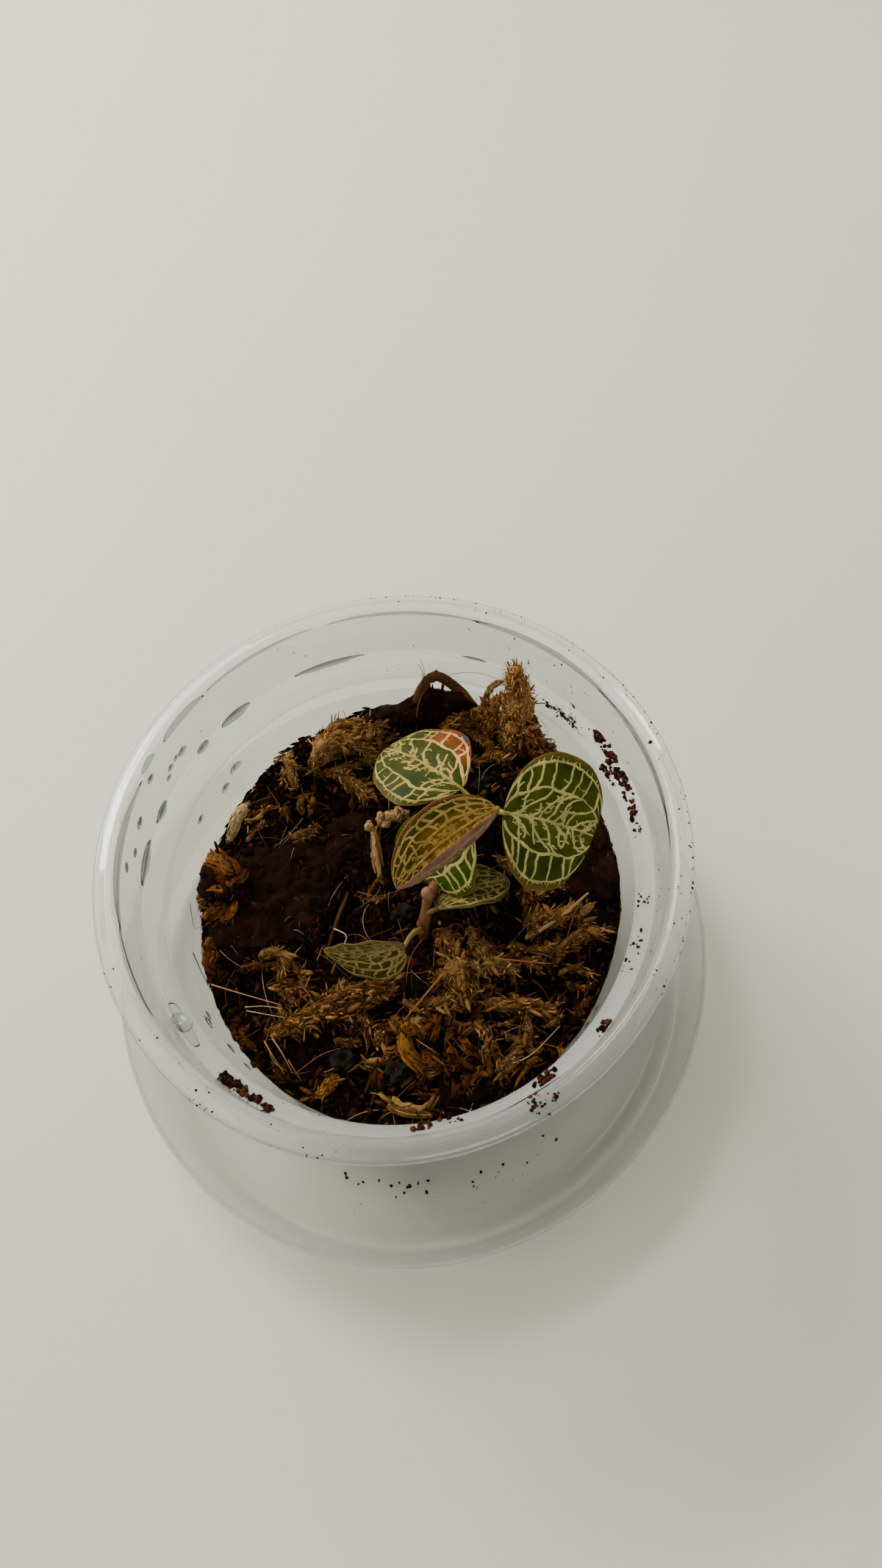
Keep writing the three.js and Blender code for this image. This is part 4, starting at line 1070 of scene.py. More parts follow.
def add_moss(moss):
    for number, (name, (path, width, height, ropes)) in enumerate(CLUMPS.items()):
        rng = np.random.default_rng(SEED + 100 + number)
        shape = Shape()
        tints = MOSS_TINTS * (1.25 if "back" in name else 1.0)
        count = int(0.045 * 2 * width * (path_length(path) + width))
        patch(shape, rng, path, width, height, count, tints)
        for line, rise, radius in ropes:
            rope(shape, rng, lifted(line, rise), radius, tints, density=9)
            flakes(shape, rng, lifted(line, rise + 0.4), radius, tints)
        if name == "moss_back_right":
            add_plume(shape, rng, tints)
        shape.piece(name + "_shreds", moss, "moss", [name])
    rng = np.random.default_rng(SEED + 150)
    loose = Shape()
    for path, width, count in SPRINKLES:
        patch(loose, rng, path, width, 1.0, count, MOSS_TINTS, 0.9)
    loose.piece("moss_loose", moss, "moss")


def rotation(turn, tilt):
    """Matrix of a tilt about X, then about Y, then a turn about Z, in degrees."""
    (cx, sx), (cy, sy), (cz, sz) = (cosines(math.radians(angle)) for angle in (*tilt, turn))
    about_x = np.array([[1, 0, 0], [0, cx, -sx], [0, sx, cx]])
    about_y = np.array([[cy, 0, sy], [0, 1, 0], [-sy, 0, cy]])
    about_z = np.array([[cz, -sz, 0], [sz, cz, 0], [0, 0, 1]])
    return about_z @ about_y @ about_x


def clod(shape, centre, size, turn, tilt, squareness, rough, seed, tints, steps, fine):
    """A rough lump on a fine grid, its centre above the mix; squareness above 2 makes a slab."""
    columns, rows = steps
    theta = np.linspace(0.001, np.pi - 0.001, rows)
    theta, phi = np.meshgrid(theta, np.linspace(0, 2 * np.pi, columns, False), indexing="ij")
    x, y, z = np.sin(theta) * np.cos(phi), np.sin(theta) * np.sin(phi), np.cos(theta)
    power = np.abs(x) ** squareness + np.abs(y) ** squareness + np.abs(z) ** squareness
    reach = power ** (-1 / squareness) * (1 + rough * noise(x * 2.3 + seed, y * 2.3, z * 2.3))
    px, py, pz = x * size[0] * reach, y * size[1] * reach, z * size[2] * reach
    points = np.stack([px, py, pz], -1)
    grit = noise(px / 1.7 + seed, py / 1.7, pz / 1.7) + 0.6 * noise(px / 0.75, py / 0.75 + seed, pz / 0.75)
    points = points + unit(points / np.asarray(size) ** 2) * (fine * grit)[..., None]
    turned = rotation(turn, tilt)
    middle = np.array([centre[0], centre[1], mix_height(centre[0], centre[1]) + centre[2]])
    points = points_inside_wall(points.reshape(-1, 3) @ turned.T + middle)
    points = np.vstack([points, points[:columns].mean(0), points[-columns:].mean(0)])
    tint = blend(tints[0], tints[-1], 0.5 + 0.5 * grit).reshape(-1, 3)
    faces = [face[::-1] for face in capped_faces(rows, columns)]
    shape.add(points, faces, np.vstack([tint, tint[0], tint[-1]]))
    return middle, turned


def fuzz(shape, rng, middle, turned, size, squareness, count, palette, long=(0.8, 2.4)):
    """Fibres and shreds that lie on a clod or stick out of it."""
    out = unit(rng.normal(size=(count, 3)) * (1, 1, 0.8))
    power = np.sum(np.abs(out) ** squareness, axis=1) ** (-1 / squareness)
    roots = (out * power[:, None] * np.asarray(size)) @ turned.T + middle
    normal = unit((out / np.asarray(size)) @ turned.T)
    ahead = unit(np.cross(normal, rng.normal(size=(count, 3)))) + normal * rng.uniform(0.0, 0.7, (count, 1))
    length = rng.uniform(*long, count)
    width = length * rng.uniform(0.5, 1.2, count) * 0.35
    tints = pick(rng, palette, count) * rng.uniform(0.5, 1.4, (count, 1))
    scales(shape, roots - normal * 0.15, ahead, normal, length, width, tints)


def strip(shape, rng, path, radius, flat, tint, sides, steps, knots=0.2, twist=0.6, up=(0.05, 0.1, 1)):
    """A smooth-skinned shred, root or stick with knots and ragged ends."""
    line = points_inside_wall(smooth_path(path, steps))
    t = np.linspace(0, 1, steps)
    seed = rng.uniform(0, 99)
    knotty = 1 + knots * noise(t * 7, seed, 1) + 0.6 * knots * noise(t * 21, seed, 5)
    width = radius * (1 - 0.35 * t) * knotty * np.sqrt(np.clip(1 - (2 * t - 1) ** 8, 0.12, 1))
    shade = np.asarray(tint) * (1 + 0.35 * noise(t * 10, seed, 9))[:, None]
    tube(shape, line, width, shade, sides, flat, twist=twist * rng.normal(), up=up)


def shred(shape, rng, path, radius, flat, tint, strands):
    """A torn strip of bark: narrow ragged strands side by side."""
    steps = 30
    line = smooth_path(path, steps)
    side = unit(np.cross(np.gradient(line, axis=0), rng.normal(0, 0.25, 3) + (0, 0, 1)))
    for offset in np.linspace(-1, 1, strands):
        start, end = rng.integers(0, 6), steps - rng.integers(0, 7)
        shift = offset * radius * 0.8 + rng.normal(0, 0.1)
        sunk = np.array([0, 0, -0.35 * radius * offset**2])
        own = line[start:end] + side[start:end] * shift + sunk
        shade = np.asarray(tint) * rng.uniform(0.45, 1.35)
        strip(shape, rng, own, radius * rng.uniform(0.3, 0.5), max(flat, 0.6), shade, 5, 18, 0.35)


FAN = np.array([  # the rust-coloured shreds at the left wall, from and to, with heights above the mix
    ((-37.5, 14.5, 4.6), (-44.3, 17.6, 5.4)), ((-37.5, 13.5, 4.8), (-45.4, 14.8, 5.2)),
    ((-37.0, 12.5, 4.8), (-45.9, 12.6, 4.6)), ((-37.0, 11.5, 4.4), (-45.2, 10.4, 4.0)),
    ((-37.0, 10.5, 4.0), (-43.2, 7.4, 3.4)), ((-36.5, 15.5, 4.8), (-41.6, 19.8, 5.4)),
    ((-35.5, 14.6, 4.4), (-38.8, 19.6, 4.2)), ((-34.2, 15.6, 3.6), (-37.6, 12.6, 4.4)),
    ((-36.5, 9.5, 3.4), (-40.6, 5.8, 2.6)),
])


def add_fan(shape, rng):
    for start, end in FAN:
        middle = (start + end) / 2 + (0, 0, 0.7)
        for _ in range(3):
            path = np.array([start, middle, end]) + rng.normal(0, 0.8, (3, 3)) * (1, 1, 0.5)
            path[:, 2] += mix_height(path[:, 0], path[:, 1])
            tint = RUST_TINTS[rng.integers(4)] * rng.uniform(0.7, 1.3)
            shred(shape, rng, path, rng.uniform(0.8, 1.5), 0.6, tint, 4)
    count = 420
    starts, ends = np.moveaxis(FAN[rng.integers(len(FAN), size=count)], 1, 0)
    at = rng.uniform(0.1, 1.0, (count, 1))
    roots = starts + (ends - starts) * at + rng.normal(0, 0.7, (count, 3)) * (1, 1, 0.6)
    roots[:, 2] += mix_height(roots[:, 0], roots[:, 1])
    ahead = ends - starts + rng.normal(0, 2.5, (count, 3))
    long = rng.uniform(0.8, 2.6, count)
    tints = pick(rng, RUST_TINTS, count) * rng.uniform(0.5, 1.5, (count, 1))
    up = rng.normal(0, 0.4, (count, 3)) + (0, 0, 1)
    scales(shape, roots, ahead, up, long, long * rng.uniform(0.15, 0.5, count), tints)


SLABS = dict(  # centre above the mix, half-size, turn, tilt, grid and fibres
    husk_chip_left=((-29.3, 8.0, 0.6), (12.4, 11.2, 1.9), -14, (4, -6), (130, 78), 1300),
    husk_chip_centre=((-9.3, 16.8, 0.6), (5.6, 5.2, 1.5), -12, (8, -6), (80, 50), 320),
    husk_chip_right=((40.6, -1.4, 0.9), (5.6, 8.6, 1.9), -8, (4, -12), (80, 44), 420),
    bark_chunk_left=((-40.0, 13.6, 2.6), (4.6, 5.0, 3.2), 14, (0, 20), (64, 40), 420),
    bark_chunk_back=((12.6, 41.0, 2.2), (5.8, 3.2, 4.6), -10, (0, 0), (80, 50), 420),
)
STONES = dict(  # centre above the mix, half-size and turn
    gravel_front_left=((-19.5, -28.0, -0.1), (2.6, 2.0, 1.6), 30),
    gravel_front=((-8.4, -33.0, -0.1), (2.3, 2.0, 1.5), 0),
    gravel_back=((22.4, 22.2, -0.1), (2.2, 2.4, 1.6), 60),
    gravel_centre=((-1.8, -1.6, -0.1), (2.4, 1.9, 1.4), 15),
)


def add_chips(bark, stone):
    for number, (name, (centre, size, turn, tilt, steps, fibres)) in enumerate(SLABS.items()):
        rng = np.random.default_rng(SEED + 200 + number)
        shape = Shape()
        middle, turned = clod(shape, centre, size, turn, tilt, 4.2, 0.2, 7 + number, HUSK_TINTS, steps, 0.5)
        fuzz(shape, rng, middle, turned, size, 4.2, fibres, HUSK_TINTS * 2.6, (0.5, 2.2))
        if name == "bark_chunk_left":
            add_fan(shape, rng)
        shape.piece(name + "_bark", bark, "bark", [name])
    for number, (name, (centre, size, turn)) in enumerate(STONES.items()):
        rng = np.random.default_rng(SEED + 240 + number)
        shape = Shape()
        seed, steps = 30 + number, (48, 30)
        middle, turned = clod(shape, centre, size, turn, (0, 0), 3.2, 0.42, seed, STONE_TINTS, steps, 0.2)
        fuzz(shape, rng, middle, turned, size, 3.2, 26, PEAT_TINTS * 2, (0.5, 1.4))
        shape.piece(name + "_stone", stone, "stone", [name])


STICKS = dict(  # radius, flatness, tint and path with heights above the mix
    coir_fibre_left=(0.5, 1.0, (0.17, 0.060, 0.018), [
        (-10.7, 9.3, -1.6), (-16.2, -0.2, 1.2), (-21.6, -9.6, -1.6)]),
    bark_stick_right=(0.75, 0.7, (0.26, 0.14, 0.055), [
        (24.3, -19.6, -1.6), (31.0, -17.4, 1.4), (37.6, -14.4, 1.0)]),
    moss_strand=(1.2, 0.7, (0.44, 0.25, 0.10), [
        (4.4, 18.6, -1.8), (0.6, 20.2, 1.4), (-3.9, 18.2, 1.8), (-4.9, 12.0, 1.4), (-4.5, 5.4, -1.8)]),
    moss_curl_left=(1.5, 0.7, (0.38, 0.26, 0.11), [
        (-31.0, 33.0, -1.4), (-34.0, 28.6, 1.8), (-37.4, 24.0, -0.6)]),
    bark_sliver_back=(2.1, 0.5, (0.022, 0.010, 0.006), [
        (-5.4, 41.4, -1.0), (1.0, 43.4, 4.6), (8.2, 43.2, 4.4)]),
    root_loop_back=(1.25, 0.85, (0.12, 0.052, 0.018), [
        (9.5, 40.0, -1.6), (11.6, 43.4, 8.0), (16.1, 44.0, 13.2), (21.4, 40.3, 9.8), (26.4, 36.0, -1.6)]),
    leaf_litter_back=(1.3, 0.35, (0.30, 0.18, 0.07), [
        (25.2, 36.6, -1.4), (26.6, 38.4, 6.6), (28.2, 39.2, 11.0), (30.9, 38.8, 12.6)]),
)


def add_knobs(shape, rng, points, tint):
    """Pale knobs at the head of the strand."""
    head = smooth_path(points, 60)[4:26]
    for seed in range(15):
        knob = head[rng.integers(len(head))] + rng.normal(0, 0.8, 3) * (1, 1, 0.4) + (0, 0, 0.3)
        knob[2] -= mix_height(knob[0], knob[1])
        size, turn = rng.uniform(0.7, 1.3, 3), rng.uniform(0, 180)
        clod(shape, knob, size, turn, (0, 0), 2.2, 0.3, seed, np.array([tint]) * 1.1, (20, 12), 0.1)


def add_torn_bark(shape, rng, points):
    """A dark clod that fills the loop of root, and torn bark that hangs under it."""
    clod(shape, (17.0, 40.8, 3.2), (7.6, 2.6, 7.4), -25, (0, 0), 2, 0.3, 6, HUSK_TINTS, (64, 40), 0.45)
    loop = smooth_path(points, 40)
    for k in rng.integers(3, 37, 44):
        foot = loop[k] + (rng.normal(0, 1.6), -1.5 - 1.5 * rng.random(), 0)
        foot[2] = mix_height(foot[0], foot[1]) + 0.3
        top = loop[k] + (0, -0.5, -0.2 - 3.5 * rng.random() ** 2)
        middle = (foot + top) / 2 + rng.normal(0, 0.8, 3)
        shred(shape, rng, [foot, middle, top], rng.uniform(0.8, 1.5), 0.6, (0.030, 0.011, 0.004), 3)


def add_sticks(bark, moss):
    for number, (name, (radius, flat, tint, path)) in enumerate(STICKS.items()):
        rng = np.random.default_rng(SEED + 300 + number)
        shape = Shape()
        points = on_mix(path)
        core = radius
        if name in ("moss_strand", "root_loop_back", "moss_curl_left"):
            shred(shape, rng, points, radius, flat, tint, 5)
        if name == "moss_strand":
            points = [np.add(point, (0, 0, 0.6)) for point in points]
            core = radius * 0.6
            add_knobs(shape, rng, points, tint)
        if name == "root_loop_back":
            add_torn_bark(shape, rng, points)
        strip(shape, rng, points, core, flat, tint, 14, 60)
        line = smooth_path(points, 60)
        count = int(40 * radius)
        index = rng.integers(3, 57, count)
        out = unit(rng.normal(size=(count, 3)))
        ahead = unit(np.gradient(line, axis=0))[index] + out * 0.3
        roots = line[index] + out * radius * 0.6 * (1, 1, flat)
        long = rng.uniform(1.0, 2.8, count) * min(radius, 1.2) ** 0.5
        wide = long * rng.uniform(0.12, 0.35, count)
        scales(shape, roots, ahead, out, long, wide, pick(rng, np.outer((0.6, 0.9, 1.3), tint), count))
        surface, slot = (moss, "moss") if name.startswith("moss") else (bark, "bark")
        shape.piece(name + "_rough", surface, slot, [name])
    rng = np.random.default_rng(SEED + 330)
    shape = Shape()
    points = np.array(on_mix(MOSS_ROPE_BACK))
    for reach, radius in ((1.0, 0.8), (0.8, 1.2), (0.55, 1.5)):
        along = np.linspace(3 * (1 - reach), 3, 4)
        line = np.stack([np.interp(along, range(4), points[:, k]) for k in range(3)], -1)
        rope(shape, rng, line, radius, MOSS_TINTS, density=7)
    shape.piece("moss_rope_back_shreds", moss, "moss", ["moss_rope_back"])


# Golden shreds of bark at the front: path on the mix, height, radius and flatness.
SHREDS = [
    ([(-3.1, -26.9), (-6.0, -26.8), (-5.9, -30.9), (-2.6, -35.7)], 2.8, 1.5, 0.6),
    ([(2.5, -31.5), (3.0, -34.1), (4.9, -35.0)], 3.0, 0.95, 0.8),
    ([(10.7, -38.9), (14.3, -37.3), (18.3, -35.9)], 2.4, 1.3, 0.5),
    ([(-1.2, -25.5), (0.5, -25.7), (0.3, -28.1), (-1.3, -29.6)], 2.4, 0.9, 0.7),
    ([(4.9, -29.6), (6.0, -32.4), (7.6, -34.1)], 2.4, 1.1, 0.6),
    ([(-3.2, -30.7), (-1.4, -33.0), (0.9, -34.8)], 2.2, 1.4, 0.6),
    ([(-12.6, -37.1), (-10.0, -40.2), (-6.2, -42.0), (-1.8, -42.6)], 1.6, 1.3, 0.6),
    ([(3.7, -36.7), (4.6, -38.5), (0.0, -41.8)], 2.2, 1.1, 0.6),
    ([(14.8, -39.3), (19.2, -38.1)], 2.0, 1.2, 0.5),
    ([(-5.8, -38.6), (0.3, -40.4)], 1.8, 0.7, 0.7),
    ([(-16.9, -28.7), (-13.0, -30.8)], 1.8, 1.2, 0.6),
    ([(-13.4, -30.4), (-13.9, -35.8)], 2.2, 0.9, 0.7),
    ([(-23.0, -29.9), (-22.2, -31.7), (-24.3, -33.3), (-27.3, -33.3)], 1.6, 1.2, 0.6),
    ([(-33.6, -25.7), (-30.9, -29.4)], 1.2, 1.3, 0.5),
    ([(8.0, -36.0), (10.2, -33.6), (12.0, -35.6)], 2.6, 1.0, 0.6),
    ([(-8.5, -24.6), (-6.4, -25.8)], 1.6, 1.0, 0.6),
]


def add_curls(bark):
    """Golden-brown shreds and moss that stand out of a dark mat at the front."""
    rng = np.random.default_rng(SEED + 400)
    shape = Shape()
    size = (13.5, 6.2, 2.4)
    middle, turned = clod(shape, (8, -36.2, -1.3), size, 0, (0, 0), 2, 0.3, 4, PEAT_TINTS, (80, 44), 0.5)
    fuzz(shape, rng, middle, turned, size, 2, 420, RUST_TINTS * 0.4)
    for number, (path, rise, radius, flat) in enumerate(SHREDS):
        tint = GOLD_TINTS[number % 4] * rng.uniform(0.9, 1.3)
        line = lifted(path, rise)
        if number < 2:  # the two longest have a smooth core
            up = rng.normal(0, 0.4, 3) + (0, 0, 1)
            strip(shape, rng, line, radius * 0.8, flat, tint * 0.9, 12, 44, 0.3, 0.9, up)
        shred(shape, rng, line, radius, flat, tint, 5)
        flakes(shape, rng, line, radius * 0.9, np.outer((0.7, 1.0, 1.2, 0.8, 0.5, 0.9), tint))
        rope(shape, rng, np.asarray(line) - (0, 0, 0.6), radius * 0.8, GOLD_TINTS * 0.8, 0.8, 3)
    for _ in range(30):
        x, y = rng.uniform(-11, 25), rng.uniform(-42, -26)
        turn, bend, long = rng.uniform(0, 2 * np.pi), rng.normal(0, 1.2), rng.uniform(2.5, 6)
        path = []
        for step in (-0.5, -0.1, 0.3, 0.5):
            cosine, sine = cosines(turn + bend * step)
            path.append((x + long * step * cosine, y + long * step * sine))
        line = lifted(path, rng.uniform(0.8, 2.4))
        if rng.random() < 0.45:
            radius, tint = rng.uniform(0.5, 1.0), GOLD_TINTS[rng.integers(4)] * rng.uniform(0.4, 1.0)
            shred(shape, rng, line, radius, 0.6, tint, 3)
        else:
            rope(shape, rng, line, rng.uniform(0.5, 1.0), GOLD_TINTS * 0.8, 0.9)
    shape.piece("bark_curls_shreds", bark, "bark", ["bark_curls"])


# ---------------------------------------------------------------- crumbs, roots and water

def icosahedron():
    golden = (1 + 5**0.5) / 2
    verts = [
        (-1, golden, 0), (1, golden, 0), (-1, -golden, 0), (1, -golden, 0), (0, -1, golden), (0, 1, golden),
        (0, -1, -golden), (0, 1, -golden), (golden, 0, -1), (golden, 0, 1), (-golden, 0, -1), (-golden, 0, 1),
    ]
    faces = [
        (0, 11, 5), (0, 5, 1), (0, 1, 7), (0, 7, 10), (0, 10, 11), (1, 5, 9), (5, 11, 4), (11, 10, 2),
        (10, 7, 6), (7, 1, 8), (3, 9, 4), (3, 4, 2), (3, 2, 6), (3, 6, 8), (3, 8, 9), (4, 9, 5), (2, 4, 11),
        (6, 2, 10), (8, 6, 7), (9, 8, 1),
    ]
    return unit(np.array(verts, float)), faces


def scatter_crumbs(shape, rng, centres, sizes, tints):
    """Small angular crumbs at the centres."""
    ball, faces = icosahedron()
    for centre, size, tint in zip(centres, sizes, tints):
        stretch = rng.uniform(0.55, 1.3, 3)
        turn = np.linalg.qr(rng.normal(size=(3, 3)))[0]
        turn = turn * np.sign(np.linalg.det(turn))
        verts = (ball * rng.uniform(0.75, 1.25, (12, 1)) * stretch * size) @ turn.T + centre
        verts[:, 2] = np.minimum(verts[:, 2], CUP_TOP)
        shape.add(verts, faces, tint)


def random_places(rng, count):
    """Places spread evenly over the mix."""
    radius, angle = 46.0 * np.sqrt(rng.random(count)), rng.uniform(0, 2 * np.pi, count)
    return radius * np.cos(angle), radius * np.sin(angle)


def add_crumbs(bark):
    """Crumbs and dark shreds over the whole top of the mix."""
    rng = np.random.default_rng(SEED + 500)
    shape = Shape()
    count = 1700
    x, y = random_places(rng, count)
    z = mix_height(x, y) + rng.uniform(-0.4, 0.8, count)
    sizes = rng.uniform(0.25, 0.8, count) * np.where(rng.random(count) < 0.1, 1.9, 1)
    x, y = inside_wall(x, y, z, 1.5)
    tints = pick(rng, PEAT_TINTS, count) * rng.uniform(0.7, 1.6, (count, 1))
    scatter_crumbs(shape, rng, np.stack([x, y, z], -1), sizes, tints)
    count = 4000
    x, y = inside_wall(*random_places(rng, count), 40.0, 1.0)
    roots = np.stack([x, y, mix_height(x, y) - 0.2 + rng.uniform(0, 0.8, count)], -1)
    turn = rng.uniform(0, 2 * np.pi, count)
    ahead = polar(1, turn, rng.normal(0.25, 0.35, count))
    long = rng.uniform(0.9, 3.4, count)
    wide = long * rng.uniform(0.10, 0.42, count)
    dark = rng.random((count, 1)) < 0.72
    tints = np.where(dark, pick(rng, PEAT_TINTS, count) * 1.15, pick(rng, RUST_TINTS, count) * 0.45)
    tints = tints * rng.uniform(0.5, 1.4, (count, 1))
    scales(shape, roots, ahead, rng.normal(0, 0.5, (count, 3)) + (0, 0, 1), long, wide, tints)
    shape.piece("mix_crumbs", bark, "growing_mix")


def add_edge_shreds(bark):
    """Shreds that lean on the wall round the top of the mix, with rust-coloured bark and moss at the left."""
    rng = np.random.default_rng(SEED + 520)
    shape = Shape()
    count, out = 2100, 46.3
    angle = rng.uniform(0, 2 * np.pi, count)
    roots = polar(out, angle, mix_height(out * np.cos(angle), out * np.sin(angle)) - 0.8)
    roots[:, 2] += rng.uniform(0, 1, count) * (1.2 + 1.6 * half_noise(angle * 5, 1, 7))
    ahead = np.stack([-np.sin(angle), np.cos(angle), rng.normal(0.2, 0.5, count)], -1)
    ahead = ahead * rng.choice([-1, 1], (count, 1))
    palette = np.vstack([PEAT_TINTS * 1.3, RUST_TINTS * 0.5, MOSS_TINTS[:2] * 0.6])
    long = rng.uniform(1.0, 3.4, count)
    wide = long * rng.uniform(0.15, 0.5, count)
    inward = polar(-1, angle, 0.6)
    scales(shape, points_inside_wall(roots), ahead, inward, long, wide, pick(rng, palette, count))
    rust = np.array([(-42.4, 5.4), (-43.8, 1.5), (-44.0, -2.8), (-43.4, -7.2)])
    for _ in range(12):
        along = rng.uniform(0, 2) + np.array([0, 0.4, 0.8, 1.1])
        part = np.stack([np.interp(along, range(4), rust[:, k]) for k in (0, 1)], -1)
        line = lifted(part + rng.normal(0, 0.7, (4, 2)), rng.uniform(0.6, 2.4))
        radius, tint = rng.uniform(0.7, 1.3), RUST_TINTS[rng.integers(4)] * rng.uniform(0.6, 1.2)
        shred(shape, rng, line, radius, 0.6, tint, 4)
    patch(shape, rng, [(-40.8, -15.6), (-38.9, -19.2)], 1.2, 1.2, 4, RUST_TINTS)
    patch(shape, rng, [(-36.4, -2.8), (-35.0, -5.1)], 0.8, 1.6, 2, RED_TINTS, 0.6)
    shape.piece("mix_edge_shreds", bark, "growing_mix")


def add_side_shreds(bark):
    """Shreds that show through the wall of the cup."""
    rng = np.random.default_rng(SEED + 540)
    shape = Shape()
    count, beyond = 2000, 60
    angle = rng.uniform(0, 2 * np.pi, count)
    z = 7.5 + (mix_height(44 * np.cos(angle), 44 * np.sin(angle)) - 8.5) * rng.random(count)
    x, y = inside_wall(beyond * np.cos(angle), beyond * np.sin(angle), z, 0.7)
    slant = rng.normal(0, 0.9, count)
    ahead = np.stack([-np.sin(angle) * np.cos(slant), np.cos(angle) * np.cos(slant), np.sin(slant)], -1)
    palette = np.vstack([PEAT_TINTS * 2.2, RUST_TINTS * 0.8, MOSS_TINTS[:3] * 0.8])
    long = rng.uniform(1.0, 4.2, count)
    wide = long * rng.uniform(0.2, 0.7, count)
    roots = np.stack([x, y, z], -1)
    scales(shape, roots, ahead, polar(1, angle, 0), long, wide, pick(rng, palette, count), dip=0.02)
    shape.piece("mix_side_shreds", bark, "growing_mix")


ROOTS = [  # thin fibres that show plainly: points, radius, tint
    ([(6.8, -16.2, 44.0), (0.7, -20.7, 43.8), (-5.6, -24.8, 41.2)], 0.34, (0.24, 0.11, 0.035)),
    ([(7.6, -15.6, 44.0), (1.5, -20.1, 44.0), (-4.8, -24.2, 41.4)], 0.2, (0.30, 0.15, 0.05)),
    ([(15.2, -17.6, 44.8), (20.9, -19.6, 45.0), (26.8, -21.4, 44.4)], 0.24, (0.28, 0.12, 0.045)),
    ([(25.8, -14.4, 45.6), (31.5, -12.6, 46.8), (38.1, -9.4, 47.6)], 0.5, (0.34, 0.20, 0.085)),
    ([(9.6, 37.0, 46), (10.1, 38.4, 52.3), (12.4, 42.1, 56), (17.5, 43.2, 60), (24.8, 42, 61.4),
      (31.4, 38.5, 60.4)], 0.13, (0.16, 0.09, 0.045)),
    ([(-10.4, 4.6, 42.2), (-6.2, 2.2, 43.0), (-0.6, 2.6, 42.8), (4.4, 3.6, 42)], 0.08, (0.20, 0.12, 0.06)),
    ([(-16.6, -2.4, 42.0), (-14.2, -5.0, 43.0), (-15.6, -8.0, 42.6), (-12.8, -10.6, 41)], 0.16,
     (0.50, 0.38, 0.24)),
    ([(11.0, 41.0, 52), (12.6, 43.4, 57), (13.4, 44.6, 60.5), (12.8, 45.8, 63.5)], 0.15, (0.10, 0.05, 0.025)),
    ([(13.0, 43.0, 57), (13.8, 45.2, 61.5), (13.2, 46.6, 64.5)], 0.1, (0.12, 0.06, 0.03)),
    ([(-43.9, -7.6, 40.0), (-37.0, -11.8, 41.2), (-29.9, -15.8, 41.6)], 0.17, (0.42, 0.26, 0.12)),
    ([(-37.6, -13.8, 39.5), (-33.6, -15.0, 41.0), (-29.8, -16.6, 41.6)], 0.14, (0.46, 0.30, 0.16)),
    ([(-37.4, -14.6, 39.4), (-33.6, -16.6, 40.8), (-29.5, -18.5, 41.4)], 0.14, (0.46, 0.30, 0.16)),
    ([(-34.6, -21.4, 38.6), (-33.2, -25.0, 39.4), (-31.6, -28.5, 37.0)], 0.2, (0.34, 0.15, 0.05)),
    ([(-32.9, -21.3, 38.8), (-31.2, -25.0, 39.6), (-30.0, -28.6, 37.2)], 0.2, (0.36, 0.18, 0.07)),
    ([(-30.4, -26.0, 37.6), (-29.4, -28.4, 38.4), (-28.4, -30.6, 36.8)], 0.14, (0.30, 0.14, 0.05)),
    ([(-38.5, 15.7, 41.2), (-39.7, 10.6, 42.0), (-40.7, 5.0, 39.4)], 0.2, (0.20, 0.09, 0.03)),
    ([(-46.0, -2.0, 46.0), (-45.0, -6.0, 43.0), (-44.0, -9.0, 39.8)], 0.12, (0.12, 0.05, 0.02)),
    ([(-47.0, 9.0, 46.5), (-46.0, 4.6, 43.2), (-43.4, 5.4, 40.6)], 0.1, (0.20, 0.10, 0.05)),
    ([(12.0, -38.0, 39.5), (18.0, -37.8, 41.5), (25.6, -33.6, 42.0)], 0.13, (0.46, 0.32, 0.16)),
]


def add_roots(skin):
    rng = np.random.default_rng(SEED + 600)
    shape = Shape()

    def hair(points, radius, tint):
        line = points_inside_wall(smooth_path(points, 15))
        tube(shape, line, radius * (1 - 0.5 * np.linspace(0, 1, 15)), tint, 4)

    for points, radius, tint in ROOTS:
        hair(points, radius, tint)
    for _ in range(190):
        far, (cosine, sine) = 43 * math.sqrt(rng.random()), cosines(rng.uniform(0, 2 * np.pi))
        x, y = far * cosine, far * sine
        heading, length, turn = rng.uniform(0, 2 * np.pi), rng.uniform(4, 15), rng.normal(0, 0.9)
        points = []
        for t in np.linspace(0, 1, 5):
            lift = -0.6 + 2.8 * math.sin(np.pi * t) * rng.uniform(0.4, 1.2)
            points.append((x, y, float(mix_height(x, y)) + lift))
            cosine, sine = cosines(heading + turn * t)
            x, y = x + cosine * length / 4, y + sine * length / 4
        tint = (0.24, 0.09, 0.03) if rng.random() < 0.6 else (0.42, 0.28, 0.15)
        hair(points, rng.uniform(0.05, 0.13), np.asarray(tint) * rng.uniform(0.4, 1.1))
    shape.piece("mix_roots", skin, "bark")
